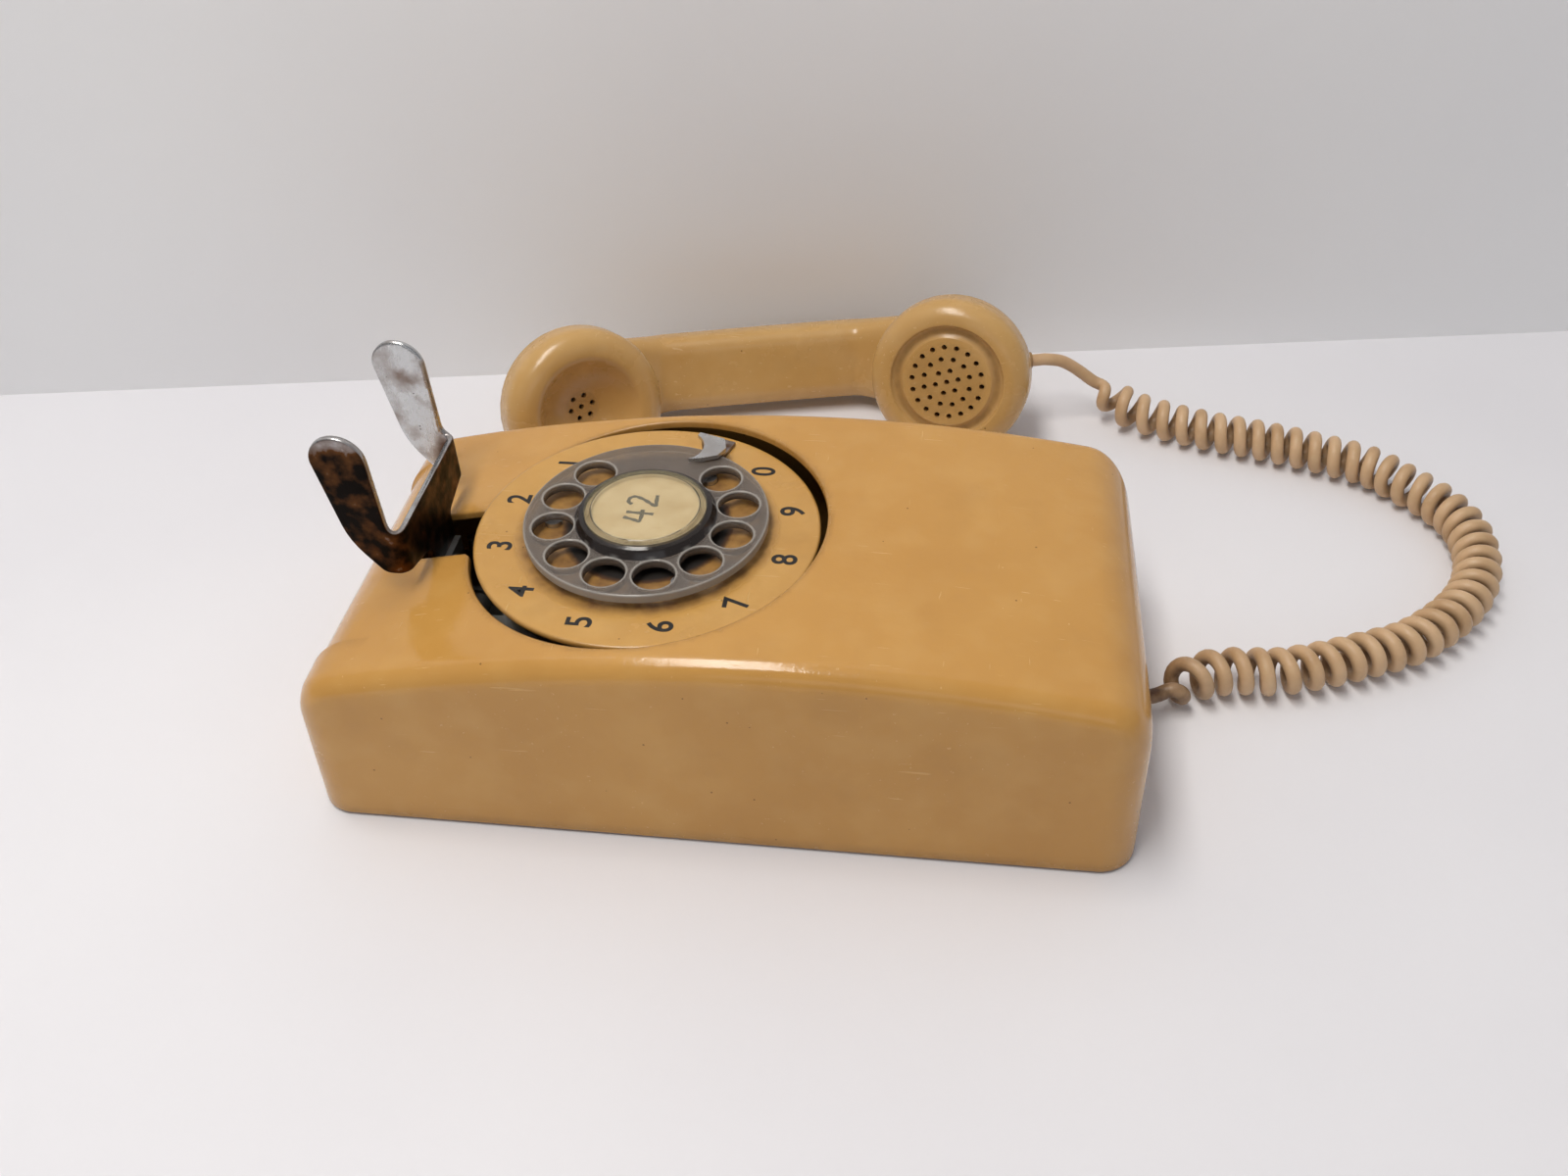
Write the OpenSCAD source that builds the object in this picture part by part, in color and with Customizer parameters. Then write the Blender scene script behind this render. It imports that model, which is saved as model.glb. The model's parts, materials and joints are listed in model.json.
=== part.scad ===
// Rotary wall telephone, lying on its back with the handset off the hook beside it.
// X runs from the hook end to the cord end, Y across the housing and Z out of the wall.
// The origin is the middle of the base plate's back, and z = 0 is the wall face.

/* [Housing] */
// Length of the housing at the wall
housing_l = 254; // [250:1:264]
// Width of the housing at the wall
housing_w = 133; // [131:1:145]
// Height of the crest of the face above the wall
face_z = 73.5; // [73:0.25:76]
// Distance from the dial axis to the crest of the face, towards the cord end
crest_dx = 50; // [40:1:60]
// Radius of the face's long curve
face_r = 555; // [500:5:700]
// How far the face falls from its middle line to its long edges
crown = 1.5; // [0.5:0.25:3]
// Wall thickness of the shell
wall = 2.6; // [2:0.1:3.2]
// Radius of the four upright corners
corner_r = 12; // [9:0.5:14]
// Radius of the rounding over both ends of the face
end_r = 15; // [12:0.5:17]
// Radius of the long edges of the face
edge_r = 7; // [5:0.5:9]
// Draft of the outer walls in degrees
draft = 1.6; // [0.5:0.1:2]
// Width of the scooped middle of the hook end
scoop_w = 94; // [70:1:100]
// Radius of the scoop, larger than the end rounding beside it
scoop_r = 28; // [24:0.5:30]
// Gap between the rim of the housing and the wall
rim_gap = 0.5; // [0.2:0.1:1]

/* [Base plate] */
// Thickness of the steel base plate
plate_t = 1.6; // [1.2:0.1:2]
// Gap between the base plate and the housing wall
plate_gap = 0.5; // [0.3:0.1:1]
// Spacing of the wall screw holes along the housing
wall_hole_sx = 104; // [100:1:108]
// Spacing of the wall screw holes across the housing
wall_hole_sy = 104; // [100:1:106]
// Diameter of the wall screw holes
wall_hole_d = 5; // [4:0.5:6]
// Diameter of the line cord entry in the base plate
entry_d = 12; // [8:1:14]
// Diameter of the housing screws
case_screw_d = 3; // [2.5:0.25:3.5]
// Outer diameter of the screw bosses in the housing
boss_d = 8; // [7:0.5:9]

/* [Dial] */
// Distance from the hook end of the housing to the dial axis
dial_from_end = 100; // [99:0.5:103]
// Height of the top of the number plate above the wall
number_plate_z = 68.2; // [67.9:0.1:68.6]
// Diameter of the number plate
number_plate_d = 108; // [106:0.5:109]
// Thickness of the number plate
number_plate_t = 2; // [1.6:0.1:2.4]
// Gap between the number plate and the opening round it
dial_gap = 2.2; // [1.5:0.1:2.6]
// Diameter of the finger wheel
wheel_d = 76.2; // [74:0.2:78]
// Thickness of the finger wheel
wheel_t = 3; // [2.6:0.1:3.4]
// Gap between the finger wheel and the number plate
wheel_lift = 2.3; // [2.1:0.1:2.6]
// Diameter of the finger holes
finger_d = 12.6; // [11.5:0.1:13]
// Radius of the circle that the finger holes lie on
finger_r = 28.8; // [28.4:0.1:29]
// Number of finger holes
finger_n = 10; // [8:1:10]
// Angle between neighbouring finger holes in degrees
finger_step = 30; // [28:1:30]
// Angle of the first finger hole, from +X towards +Y
first_hole = 135.6; // [130:0.2:140]
// Angle of the finger stop, from +X towards +Y
stop_angle = 71; // [66:1:76]
// Width of the finger stop at its foot
stop_w = 9; // [7:0.5:10]
// Thickness of the finger stop
stop_t = 1.4; // [1:0.1:1.8]
// Diameter of the raised hub of the finger wheel
hub_d = 43; // [41:0.5:44]
// Height of the hub above the finger wheel
hub_h = 2.4; // [2:0.1:3]
// Diameter of the number card
card_d = 37.5; // [35:0.5:39]
// Diameter of the dial shaft
shaft_d = 6; // [5:0.5:7]
// Radial clearance of shafts in their bearings
fit = 0.05; // [0.03:0.01:0.08]

/* [Dial works] */
// Diameter of the round frame under the number plate
frame_d = 102; // [100:0.5:104]
// Thickness of the frame and of the bridge below it
frame_t = 2.4; // [2:0.1:2.8]
// Clear height between the bridge and the frame
works_h = 20; // [20:0.5:21]
// Gap between the frame and the number plate
frame_drop = 2.2; // [1.8:0.1:2.6]
// Diameter of the frame over the pitch diameter of the main gear
frame_ratio = 2.125; // [2.1:0.005:2.15]
// Teeth of the main gear
main_n = 60; // [56:4:64]
// Teeth of the impulse pinion
pulse_n = 15; // [14:1:16]
// Module of the governor drive over the module of the main gear
drive_ratio = 0.75; // [0.73:0.01:0.77]
// Teeth of the governor drive wheel
drive_n = 40; // [38:2:42]
// Teeth of the governor pinion
gov_n = 12; // [12:1:14]
// Thickness of the main gear
gear_t = 1.8; // [1.4:0.1:2]
// Backlash of each gear pair at the pitch circle
backlash = 0.14; // [0.1:0.01:0.2]
// Diameter of the impulse and governor arbors
arbor_d = 3; // [2.6:0.1:3.2]
// Gap between the governor cup and the bracket beside it
cup_gap = 2.9; // [2.4:0.1:3.4]

/* [Hook] */
// Distance from the hook end of the housing to the middle of the cradle
cradle_from_end = 32; // [31:0.5:34]
// Height of the crossbar's upper edge above the wall
cradle_z = 82; // [81:0.5:83]
// Height of the crossbar between the prongs
bar_h = 15; // [13:0.5:16]
// Lean of the prongs towards the hook end in degrees
cradle_lean = 2; // [0:0.5:5]
// Inner gap between the cradle's prongs
cradle_gap = 50; // [46:1:54]
// Length of the prongs above the crossbar
prong_l = 34; // [31:1:37]
// Width of a prong
prong_w = 15; // [13:0.5:16]
// Thickness of the cradle's strip
strip_t = 2; // [1.6:0.1:2.4]
// Width of the hook arm
arm_w = 19; // [16:0.5:19.5]
// Width of the slot that the arm stands in
slot_w = 21.6; // [21:0.2:24]
// Length of the slot from the dial opening towards the hook end
slot_l = 22; // [20:0.5:22]
// Height of the hook's pivot above the wall
pivot_z = 24; // [22:0.5:26]
// Diameter of the hook's pivot pin
pivot_d = 4; // [3.5:0.25:4.5]

/* [Ringer] */
// Gap between the two gongs, where the hammer swings
gong_mid = 14; // [14:0.5:16]
// Distance from a gong to the side of the housing at the wall
gong_side = 7.5; // [7.5:0.5:9]
// Height of a gong
gong_h = 15; // [12:0.5:17]
// Distance from the gongs to the cord end of the housing
gong_end = 16; // [14:0.5:17]
// Diameter of the ringer coil
coil_d = 24; // [20:0.5:26]
// Length of the ringer coil
coil_l = 34; // [30:1:40]

/* [Circuit] */
// Gap between the network block and the ringer, where the line comes in
block_gap = 17; // [16:0.5:22]
// Width of the network block
block_w = 46; // [40:1:50]
// Height of the network block
block_h = 22; // [18:0.5:24]
// Diameter of the capacitor
cap_can_d = 18; // [14:0.5:20]
// Gap between each end of the capacitor and its neighbours
can_gap = 5.5; // [4:0.5:8]

/* [Handset] */
// Half of the distance between the middles of the two cap rims
rim_half = 70.4; // [68:0.2:74]
// Tilt of each cap towards the middle of the handset in degrees
cap_tilt = 22; // [20:0.5:24]
// Diameter of both caps
cap_d = 64; // [62:0.5:65]
// Height of a cap from its seam to its rim
cap_h = 16; // [15:0.5:17]
// Wall thickness of caps and cups
cap_wall = 2.4; // [2:0.1:2.8]
// Depth of a cup behind the seam
cup_h = 21; // [20:0.5:23]
// Diameter of the closed end of a cup
cup_end_d = 51; // [48:0.5:51]
// Depth of the dish in the receiver cap
dish_depth = 12; // [10:0.5:12.5]
// Diameter of the sound holes
sound_d = 2.1; // [1.6:0.1:2.4]
// Spacing of the rings of sound holes
sound_pitch = 4.7; // [4.3:0.1:4.9]
// Width of the handle
handle_w = 32; // [29:0.5:34]
// Thickness of the handle
handle_t = 19; // [17:0.5:21]
// Depth of the handle's front face behind the cap rims
handle_drop = 44; // [42:0.5:46]
// Turn of the handset on the table, about Z in degrees
handset_yaw = 13.4; // [8:0.2:16]
// Roll of the handset, from face up to face forward in degrees
handset_roll = 72.5; // [72:0.1:73]

/* [Cord] */
// Diameter of the cord
cord_d = 5; // [4.4:0.1:5]
// Outer diameter of the curls
curl_d = 16.4; // [15.5:0.1:16.4]

/* [Hidden] */
$fn = 64;

hl = housing_l / 2;
hw = housing_w / 2;
dial_x = dial_from_end - hl;
crest_x = dial_x + crest_dx;
deg = 180 / PI;
skin = 0.02;

// Shared shapes

function rounded(l, w, r, n = 6) = [
  for (q = [0 : 3])
    for (i = [0 : n])
      let (a = q * 90 + i * 90 / n,
           cx = (q == 0 || q == 3 ? 1 : -1) * (l / 2 - r),
           cy = (q < 2 ? 1 : -1) * (w / 2 - r))
      [cx + r * cos(a), cy + r * sin(a)]
];

module rounded_plate(l, w, r, t) {
  linear_extrude(t) union() {
    square([l - 2 * r, w], center = true);
    square([l, w - 2 * r], center = true);
    for (x = [-1, 1], y = [-1, 1]) translate([x * (l / 2 - r), y * (w / 2 - r)]) circle(r);
  }
}

module rod_y(d, l) {
  rotate([90, 0, 0]) cylinder(d = d, h = l, center = true);
}

module pan_screw(d, l, head_d, head_h) {
  difference() {
    union() {
      translate([0, 0, -l]) cylinder(d = d, h = l + skin);
      cylinder(d = head_d, h = head_h);
    }
    translate([-head_d, -0.4, head_h - 0.6]) cube([2 * head_d, 0.8, 1]);
  }
}

module at_dial(z = 0) {
  translate([dial_x, 0, z]) children();
}

// Housing: a lofted shell, drafted and crowned

function face_at(x) = face_z - pow(x - crest_x, 2) / (2 * face_r);

function inset(d, r) = d >= r ? 0 : r - sqrt(max(0, r * r - pow(r - d, 2)));

function section(x, off, z0) =
  let (l = hl - off,
       d = l - abs(x),
       w = hw - off - inset(d, corner_r - off),
       e = edge_r - off / 2,
       mid = face_at(x) - off - inset(d, end_r - off),
       side = mid - crown * pow((w - e) / hw, 2))
  concat(
    [[x, -w, z0], [x, -w, (side - e + z0) / 2]],
    [for (a = [0 : 22.5 : 90]) [x, -w + e - e * cos(a), side - e + e * sin(a)]],
    [for (i = [-2 : 2]) let (y = (w - e) * i / 3) [x, y, mid - crown * pow(y / hw, 2)]],
    [for (a = [90 : -22.5 : 0]) [x, w - e + e * cos(a), side - e + e * sin(a)]],
    [[x, w, (side - e + z0) / 2], [x, w, z0]]
  );

function drafted(p) = let (k = tan(draft) * p.z) [p.x * (1 - k / hl), p.y * (1 - k / hw), p.z];

function stations(l, r) = let (n = 8) concat(
  [for (a = [0 : 15 : 75]) -l + r * (1 - cos(a))],
  [for (i = [0 : n]) (-l + r) + i * 2 * (l - r) / n],
  [for (a = [75 : -15 : 0]) l - r * (1 - cos(a))]
);

module shell_solid(off, z0) {
  xs = stations(hl - off, end_r - off);
  rings = [for (x = xs) [for (p = section(x, off, z0)) drafted(p)]];
  m = len(rings[0]);
  n = len(rings);
  polyhedron(
    [for (r = rings) each r],
    concat(
      [[for (j = [m - 1 : -1 : 0]) j]],
      [for (i = [0 : n - 2], j = [0 : m - 1]) let (k = (j + 1) % m) [i * m + j, i * m + k, (i + 1) * m + j]],
      [for (i = [0 : n - 2], j = [0 : m - 1]) let (k = (j + 1) % m) [i * m + k, (i + 1) * m + k, (i + 1) * m + j]],
      [[for (j = [0 : m - 1]) (n - 1) * m + j]]
    )
  );
}

scoop_slope = atan((crest_x + hl - scoop_r) / face_r);
scoop_x = -hl + scoop_r + 0.9;
scoop_z = face_at(scoop_x - scoop_r * sin(scoop_slope)) - scoop_r * cos(scoop_slope);

// The cutter's outline crosses the end wall and the face at an angle, so no face of it lies along them
module scoop_cut(off) {
  first = 171;
  last = 90 + scoop_slope + 7;
  steps = 7;
  arc = [
    for (i = [0 : steps])
      let (a = first - i * (first - last) / steps) [scoop_x, scoop_z] + (scoop_r - off) * [cos(a), sin(a)]
  ];
  out = -hl - 5;
  top = face_z + 10;
  rotate([90, 0, 0]) linear_extrude(scoop_w + 2 * off, center = true) polygon(concat(
    [[out, arc[0].y - 9], [arc[0].x - 2.2, arc[0].y - 9]],
    arc,
    [arc[steps] + [6, 3], [arc[steps].x + 6, top], [out, top]]
  ));
}

below_rim = -7;
opening_d = number_plate_d + 2 * dial_gap;
slot_end = dial_x - opening_d / 2 - slot_l;
case_screw_x = hl - 17;
case_screw_y = hw - 13;
cord_z = 9;
grommet_d = 10;

module at_case_screws() {
  for (x = [-1, 1], y = [-1, 1]) translate([x * case_screw_x, y * case_screw_y, 0]) children();
}

module housing() {
  color("#c99c52") {
    difference() {
      shell_solid(0, rim_gap);
      difference() {
        shell_solid(wall, below_rim);
        scoop_cut(wall);
      }
      scoop_cut(0);
      at_dial(40) cylinder(d = opening_d, h = 60, $fn = 128);
      translate([slot_end, -slot_w / 2, 40]) cube([dial_x - slot_end, slot_w, 60]);
      translate([hl, 0, cord_z]) rotate([0, 90, 0]) cylinder(d = grommet_d, h = 20, center = true);
    }
    difference() {
      intersection() {
        at_case_screws() translate([0, 0, plate_t + 0.1]) cylinder(d = boss_d, h = face_z);
        shell_solid(wall / 2, below_rim);
      }
      at_case_screws() cylinder(d = case_screw_d - 0.1, h = 24);
    }
  }
}

// Base plate and its fasteners

base_l = housing_l - 2 * (wall + plate_gap);
base_w = housing_w - 2 * (wall + plate_gap);

module base_plate() {
  color("#8c8f90") difference() {
    rounded_plate(base_l, base_w, corner_r - wall, plate_t);
    for (x = [-1, 1], y = [-1, 1])
      translate([x * wall_hole_sx / 2, y * wall_hole_sy / 2, -1]) cylinder(d = wall_hole_d, h = 5);
    translate([block_x1 + block_gap / 2, 0, -1]) cylinder(d = entry_d, h = 5);
    at_case_screws() translate([0, 0, -1]) cylinder(d = case_screw_d + 0.4, h = 5);
    at_case_screws() translate([0, 0, -skin]) cylinder(d1 = case_screw_d + 3, d2 = case_screw_d + 0.4, h = 1.3);
  }
}

module housing_screws() {
  color("silver") at_case_screws() difference() {
    union() {
      translate([0, 0, 0.05]) cylinder(d1 = case_screw_d + 2.6, d2 = case_screw_d - 0.1, h = 1.3);
      translate([0, 0, 1]) cylinder(d = case_screw_d - 0.14, h = 15);
    }
    translate([-4, -0.4, -1]) cube([8, 0.8, 1.6]);
  }
}

// Dial: number plate, finger stop and finger wheel

plate_z0 = number_plate_z - number_plate_t;
wheel_z0 = number_plate_z + wheel_lift;
wheel_z1 = wheel_z0 + wheel_t;
frame_z1 = plate_z0 - frame_drop;
frame_z0 = frame_z1 - frame_t;
bridge_z1 = frame_z0 - works_h;
bridge_z0 = bridge_z1 - frame_t;
plate_screw_r = 30;

module at_plate_screws() {
  for (a = [60, 180, 300]) at_dial() rotate(a) translate([plate_screw_r, 0, 0]) children();
}

module number_plate() {
  edge = number_plate_t / 2;
  color("#d9b066") difference() {
    at_dial() rotate_extrude($fn = 128) union() {
      translate([0, plate_z0]) square([number_plate_d / 2 - edge, number_plate_t]);
      translate([number_plate_d / 2 - edge, plate_z0 + edge]) circle(edge, $fn = 24);
    }
    at_dial(plate_z0 - 1) cylinder(d = 24, h = 5);
    at_plate_screws() translate([0, 0, plate_z0 - 1]) cylinder(d = 3.4, h = 5);
  }
}

module number_plate_screws() {
  color("silver") at_plate_screws() translate([0, 0, number_plate_z + skin])
    pan_screw(3, number_plate_t + frame_drop + frame_t, 5.6, 1.6);
}

stop_out = wheel_d / 2 + 4;
stop_foot = number_plate_d / 2 - 3.4;
stop_z = wheel_z1 + 0.7;
stop_side = stop_out + stop_t;
finger_bite_r = 8.6;

module stop_outline() {
  difference() {
    polygon([
      [finger_r, 1], [finger_r + 2.6, -4.5], [stop_out - 6, -stop_w - 1], [stop_side, -stop_w / 2],
      [stop_side, stop_w / 2], [finger_r + 2, stop_w / 2]
    ]);
    translate([finger_r + 5, finger_bite_r - 1]) circle(finger_bite_r);
  }
}

module finger_stop() {
  color("#b9bcc0") at_dial() rotate(stop_angle) {
    translate([0, 0, stop_z]) linear_extrude(stop_t) stop_outline();
    translate([stop_out, -stop_w / 2, number_plate_z]) cube([stop_t, stop_w - 1, stop_z + 0.5 - number_plate_z]);
    translate([stop_out, -stop_w / 2, number_plate_z]) cube([stop_foot - stop_out, stop_w - 1, stop_t]);
  }
}

hub_z = wheel_z1 + hub_h;
shaft_top = hub_z - 0.8;
collar_d = shaft_d + 5;

module finger_wheel() {
  color("#8f8478", 0.7) difference() {
    at_dial() rotate_extrude($fn = 128) polygon([
      [shaft_d / 2 + 0.02, wheel_z0 - 1], [collar_d / 2, wheel_z0 - 1], [collar_d / 2, wheel_z0],
      [wheel_d / 2 - 0.8, wheel_z0], [wheel_d / 2, wheel_z0 + 0.8], [wheel_d / 2, wheel_z1 - 0.8],
      [wheel_d / 2 - 0.8, wheel_z1], [hub_d / 2, wheel_z1], [hub_d / 2 - 1, hub_z],
      [card_d / 2 + 0.3, hub_z], [card_d / 2 + 0.3, hub_z - 0.8], [shaft_d / 2 + 0.02, hub_z - 0.8]
    ]);
    for (i = [0 : finger_n - 1])
      at_dial(wheel_z0 - 1) rotate(first_hole + i * finger_step) translate([finger_r, 0, 0])
        cylinder(d = finger_d, h = wheel_t + 2, $fn = 48);
  }
}

module number_card() {
  color("#e9dcb4") at_dial(hub_z - 0.78) cylinder(d = card_d, h = 0.5, $fn = 96);
}

module card_retainer() {
  color("#cfc8ba", 0.5) at_dial() rotate_extrude($fn = 96) polygon([
    [0, hub_z - 0.26], [card_d / 2 + 0.25, hub_z - 0.26], [card_d / 2 + 0.25, hub_z + 0.02],
    [hub_d / 2 - 1.2, hub_z + 0.02], [hub_d / 2 - 1.6, hub_z + 0.9], [card_d / 2, hub_z + 1.3], [0, hub_z + 1.5]
  ]);
}

module hub_screw() {
  color("silver") at_dial(shaft_top - 0.7) {
    cylinder(d = shaft_d - 1, h = 0.65);
    translate([0, 0, -9]) cylinder(d = 2.6, h = 9.2);
  }
}

module dial_shaft() {
  color("#a8abad") difference() {
    at_dial(bridge_z0 - 1) cylinder(d = shaft_d, h = shaft_top - 0.75 - (bridge_z0 - 1));
    at_dial(shaft_top - 12) cylinder(d = 2.6 + 2 * fit, h = 14);
  }
}

// Dial works: frame, bridge, gear train, governor and contacts

function involute(a) = tan(a) - a / deg;

function gear_points(n, m, slack) =
  let (pa = 25,
       rp = m * n / 2,
       rb = rp * cos(pa),
       rt = rp + 0.8 * m,
       rr = rp - 1.05 * m,
       r0 = max(rb, rr),
       half = 90 / n - slack / 4 / rp * deg,
       at = function (r) half + (involute(pa) - involute(acos(min(1, rb / r)))) * deg,
       rs = [for (i = [0 : 3]) r0 + (rt - r0) * i / 3],
       side = concat([[rr, at(r0)]], rr < r0 - 0.01 ? [[r0, at(r0)]] : [], [for (i = [1 : 3]) [rs[i], at(rs[i])]]),
       k = len(side))
  [
    for (t = [0 : n - 1])
      for (j = [0 : 2 * k - 1])
        let (s = j < k ? side[j] : side[2 * k - 1 - j], a = t * 360 / n + (j < k ? -s[1] : s[1]))
        s[0] * [cos(a), sin(a)]
  ];

gear_m = frame_d / frame_ratio / main_n;
gov_m = drive_ratio * gear_m;
pulse_dir = -90;
pulse_r = gear_m * (main_n + pulse_n) / 2;
gov_turn = 60;
gov_r = gov_m * (drive_n + gov_n) / 2;
gear_z = frame_z0 - 5;
drive_z = frame_z0 - 10;
cam_z = gear_z + gear_t + 0.9;
cam_t = 1.2;
pillar_r = frame_d / 2 - 7;

module at_pulse(z) {
  at_dial(z) rotate(pulse_dir) translate([pulse_r, 0, 0]) children();
}

module at_governor(z) {
  at_pulse(z) rotate(gov_turn) translate([gov_r, 0, 0]) children();
}

module at_pillars(z) {
  for (a = [20, 160, 200]) at_dial(z) rotate(a) translate([pillar_r, 0, 0]) children();
}

module bearing_holes(z) {
  at_dial(z) cylinder(d = shaft_d + 2 * fit, h = frame_t + 2);
  at_pulse(z) cylinder(d = arbor_d + 2 * fit, h = frame_t + 2);
  at_governor(z) cylinder(d = arbor_d + 2 * fit, h = frame_t + 2);
}

module dial_frame() {
  color("#9a9c9b") difference() {
    union() {
      at_dial(frame_z0) cylinder(d = frame_d, h = frame_t, $fn = 96);
      at_plate_screws() translate([0, 0, frame_z1 - skin]) cylinder(d = 7, h = frame_drop + skin);
    }
    bearing_holes(frame_z0 - 1);
    at_plate_screws() translate([0, 0, frame_z0 - 1]) cylinder(d = 3 + 2 * fit, h = 9);
    at_pillars(frame_z0 - 1) cylinder(d = 3, h = 5);
    for (s = [-1, 1]) at_dial(frame_z0 - 1) translate([0, s * (frame_d / 2 - 5), 0]) cylinder(d = 3, h = 5);
  }
}

module dial_bridge() {
  color("#9a9c9b") difference() {
    at_dial(bridge_z0) linear_extrude(frame_t) difference() {
      circle(d = frame_d - 4, $fn = 96);
      translate([frame_d / 2 - 8, 26]) circle(26);
    }
    bearing_holes(bridge_z0 - 1);
    at_pillars(bridge_z0 - 1) cylinder(d = 3, h = 5);
  }
}

module dial_pillars() {
  color("#b59a5a") at_pillars(0) {
    translate([0, 0, bridge_z1]) cylinder(d = 6, h = works_h);
    translate([0, 0, bridge_z0]) cylinder(d = 2.9, h = works_h + 2 * frame_t);
  }
}

bracket_y = frame_d / 2 - 5;
bracket_w = 26;
bracket_t = 2;
bracket_in = bracket_y + 5.2;
cup_d = 2 * (bracket_in - pulse_r - gov_r * cos(gov_turn) - cup_gap);

module dial_bracket() {
  foot = 12;
  color("#8c8f90") for (s = [-1, 1]) difference() {
    union() {
      at_dial() translate([-bracket_w / 2, s * (bracket_in + bracket_t / 2) - bracket_t / 2, plate_t])
        cube([bracket_w, bracket_t, frame_z0 - plate_t]);
      at_dial() translate([-bracket_w / 2, s * (bracket_y + 0.5) - foot / 2, plate_t]) cube([bracket_w, foot, 1.6]);
      at_dial() translate([-bracket_w / 2, s * (bracket_y + 1.5) - foot / 2 + 1, frame_z0 - 1.6])
        cube([bracket_w, foot - 2, 1.6]);
    }
    at_dial(frame_z0 - 5) translate([0, s * bracket_y, 0]) cylinder(d = 3, h = 6);
  }
}

module governor_cup() {
  color("#b08d4a") difference() {
    at_governor(bridge_z1) cylinder(d = cup_d, h = 7.6);
    at_governor(bridge_z1 + 1) cylinder(d = cup_d - 2, h = 8);
    at_governor(bridge_z1 - 1) cylinder(d = arbor_d + 2 * fit, h = 4);
  }
}

module main_gear() {
  color("#b59a5a") at_dial(gear_z) linear_extrude(gear_t) difference() {
    rotate(pulse_dir) polygon(gear_points(main_n, gear_m, backlash));
    circle(d = shaft_d);
    for (a = [0 : 60 : 300]) rotate(a) translate([17.5 * gear_m, 0]) circle(d = 10 * gear_m);
  }
}

module pulse_arbor() {
  color("#a8abad") at_pulse(bridge_z0 + 0.2) cylinder(d = arbor_d, h = frame_z1 - bridge_z0 - 0.4);
}

module pulse_pinion() {
  color("#b59a5a") at_pulse(gear_z - 0.4) linear_extrude(gear_t + 0.8) difference() {
    rotate(180 + 180 / pulse_n) polygon(gear_points(pulse_n, gear_m, backlash));
    circle(d = arbor_d);
  }
}

module pulse_cam() {
  color("#efe9dc") at_pulse(cam_z) linear_extrude(cam_t) difference() {
    union() {
      circle(d = 8 * gear_m);
      for (a = [0, 120, 240]) rotate(a) translate([0, -1.5 * gear_m]) square([5.5, 3] * gear_m);
    }
    circle(d = arbor_d);
  }
}

module drive_wheel() {
  color("#b59a5a") at_pulse(drive_z) linear_extrude(1.2) difference() {
    rotate(gov_turn) polygon(gear_points(drive_n, gov_m, backlash));
    circle(d = arbor_d);
    for (a = [0 : 90 : 270]) rotate(a) translate([11.7 * gov_m, 0]) circle(d = 7.3 * gov_m);
  }
}

module governor_arbor() {
  color("#a8abad") {
    at_governor(bridge_z0 + 0.2) cylinder(d = arbor_d, h = frame_z1 - bridge_z0 - 0.4);
    at_governor(drive_z - 0.4) linear_extrude(2) difference() {
      rotate(180 + 180 / gov_n) polygon(gear_points(gov_n, gov_m, backlash));
      circle(d = arbor_d - 0.2);
    }
  }
}

module governor_weights() {
  color("#b08d4a") at_governor(bridge_z1 + 2) rotate(45) difference() {
    union() {
      intersection() {
        cylinder(d = cup_d - 3.2, h = 4);
        for (s = [-1, 1]) translate([s * (cup_d / 2 - 4.6) - 2.4, -5, 0]) cube([4.8, 10, 4]);
      }
      translate([-cup_d / 2 + 4, -2.4, 1]) cube([cup_d - 8, 4.8, 1.4]);
    }
    translate([0, 0, -1]) cylinder(d = arbor_d, h = 8);
  }
}

contact_x = 7.75 * gear_m;
contact_z = cam_z - 0.4;
contact_pitch = 2.75 * gear_m;
contact_t = 0.5;

module pulse_contacts() {
  color("#c8c3a8") for (i = [0 : 2])
    at_pulse(contact_z) translate([contact_x + i * contact_pitch, -22, 0]) cube([contact_t, 24, 2.2]);
}

module contact_insulators() {
  color("#6b3f22") for (i = [0 : 3])
    at_pulse(contact_z) translate([contact_x + (i - 1) * contact_pitch + contact_t, -22, 0])
      cube([contact_pitch - contact_t, 8, frame_z0 - contact_z]);
}

// Hook: cradle, lever, pivot and switch

cradle_x = cradle_from_end - hl;
pivot_x = cradle_x + 3;
arm_x = cradle_x - 0.6;
lever_top = 54;

cradle_low = cradle_z - bar_h;
cradle_half = cradle_gap / 2 + strip_t;
fold_r = 2 * strip_t;
fold_x = arm_x + strip_t / 2 - fold_r;

module cradle_plate() {
  bar = cradle_half - fold_r;
  neck = cradle_low - bar_h / 4;
  arm = arm_w / 2;
  foot = lever_top - 14;
  polygon([[-bar, cradle_low], [-bar, cradle_z], [bar, cradle_z], [bar, cradle_low],
    [arm, neck], [arm, foot], [-arm, foot], [-arm, neck]]);
}

module prong_outline() {
  tip = 0.56 * prong_w;
  heel = 0.85 * prong_w;
  toe = 0.26 * prong_w;
  middle = prong_l - tip;
  shift = middle * tan(cradle_lean);
  polygon([[0, -bar_h], [0, 0], [-shift, middle], [-shift - 2 * tip, middle], [-heel, -bar_h / 5], [-toe, -bar_h]]);
  translate([-shift - tip, middle]) circle(tip);
}

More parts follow.
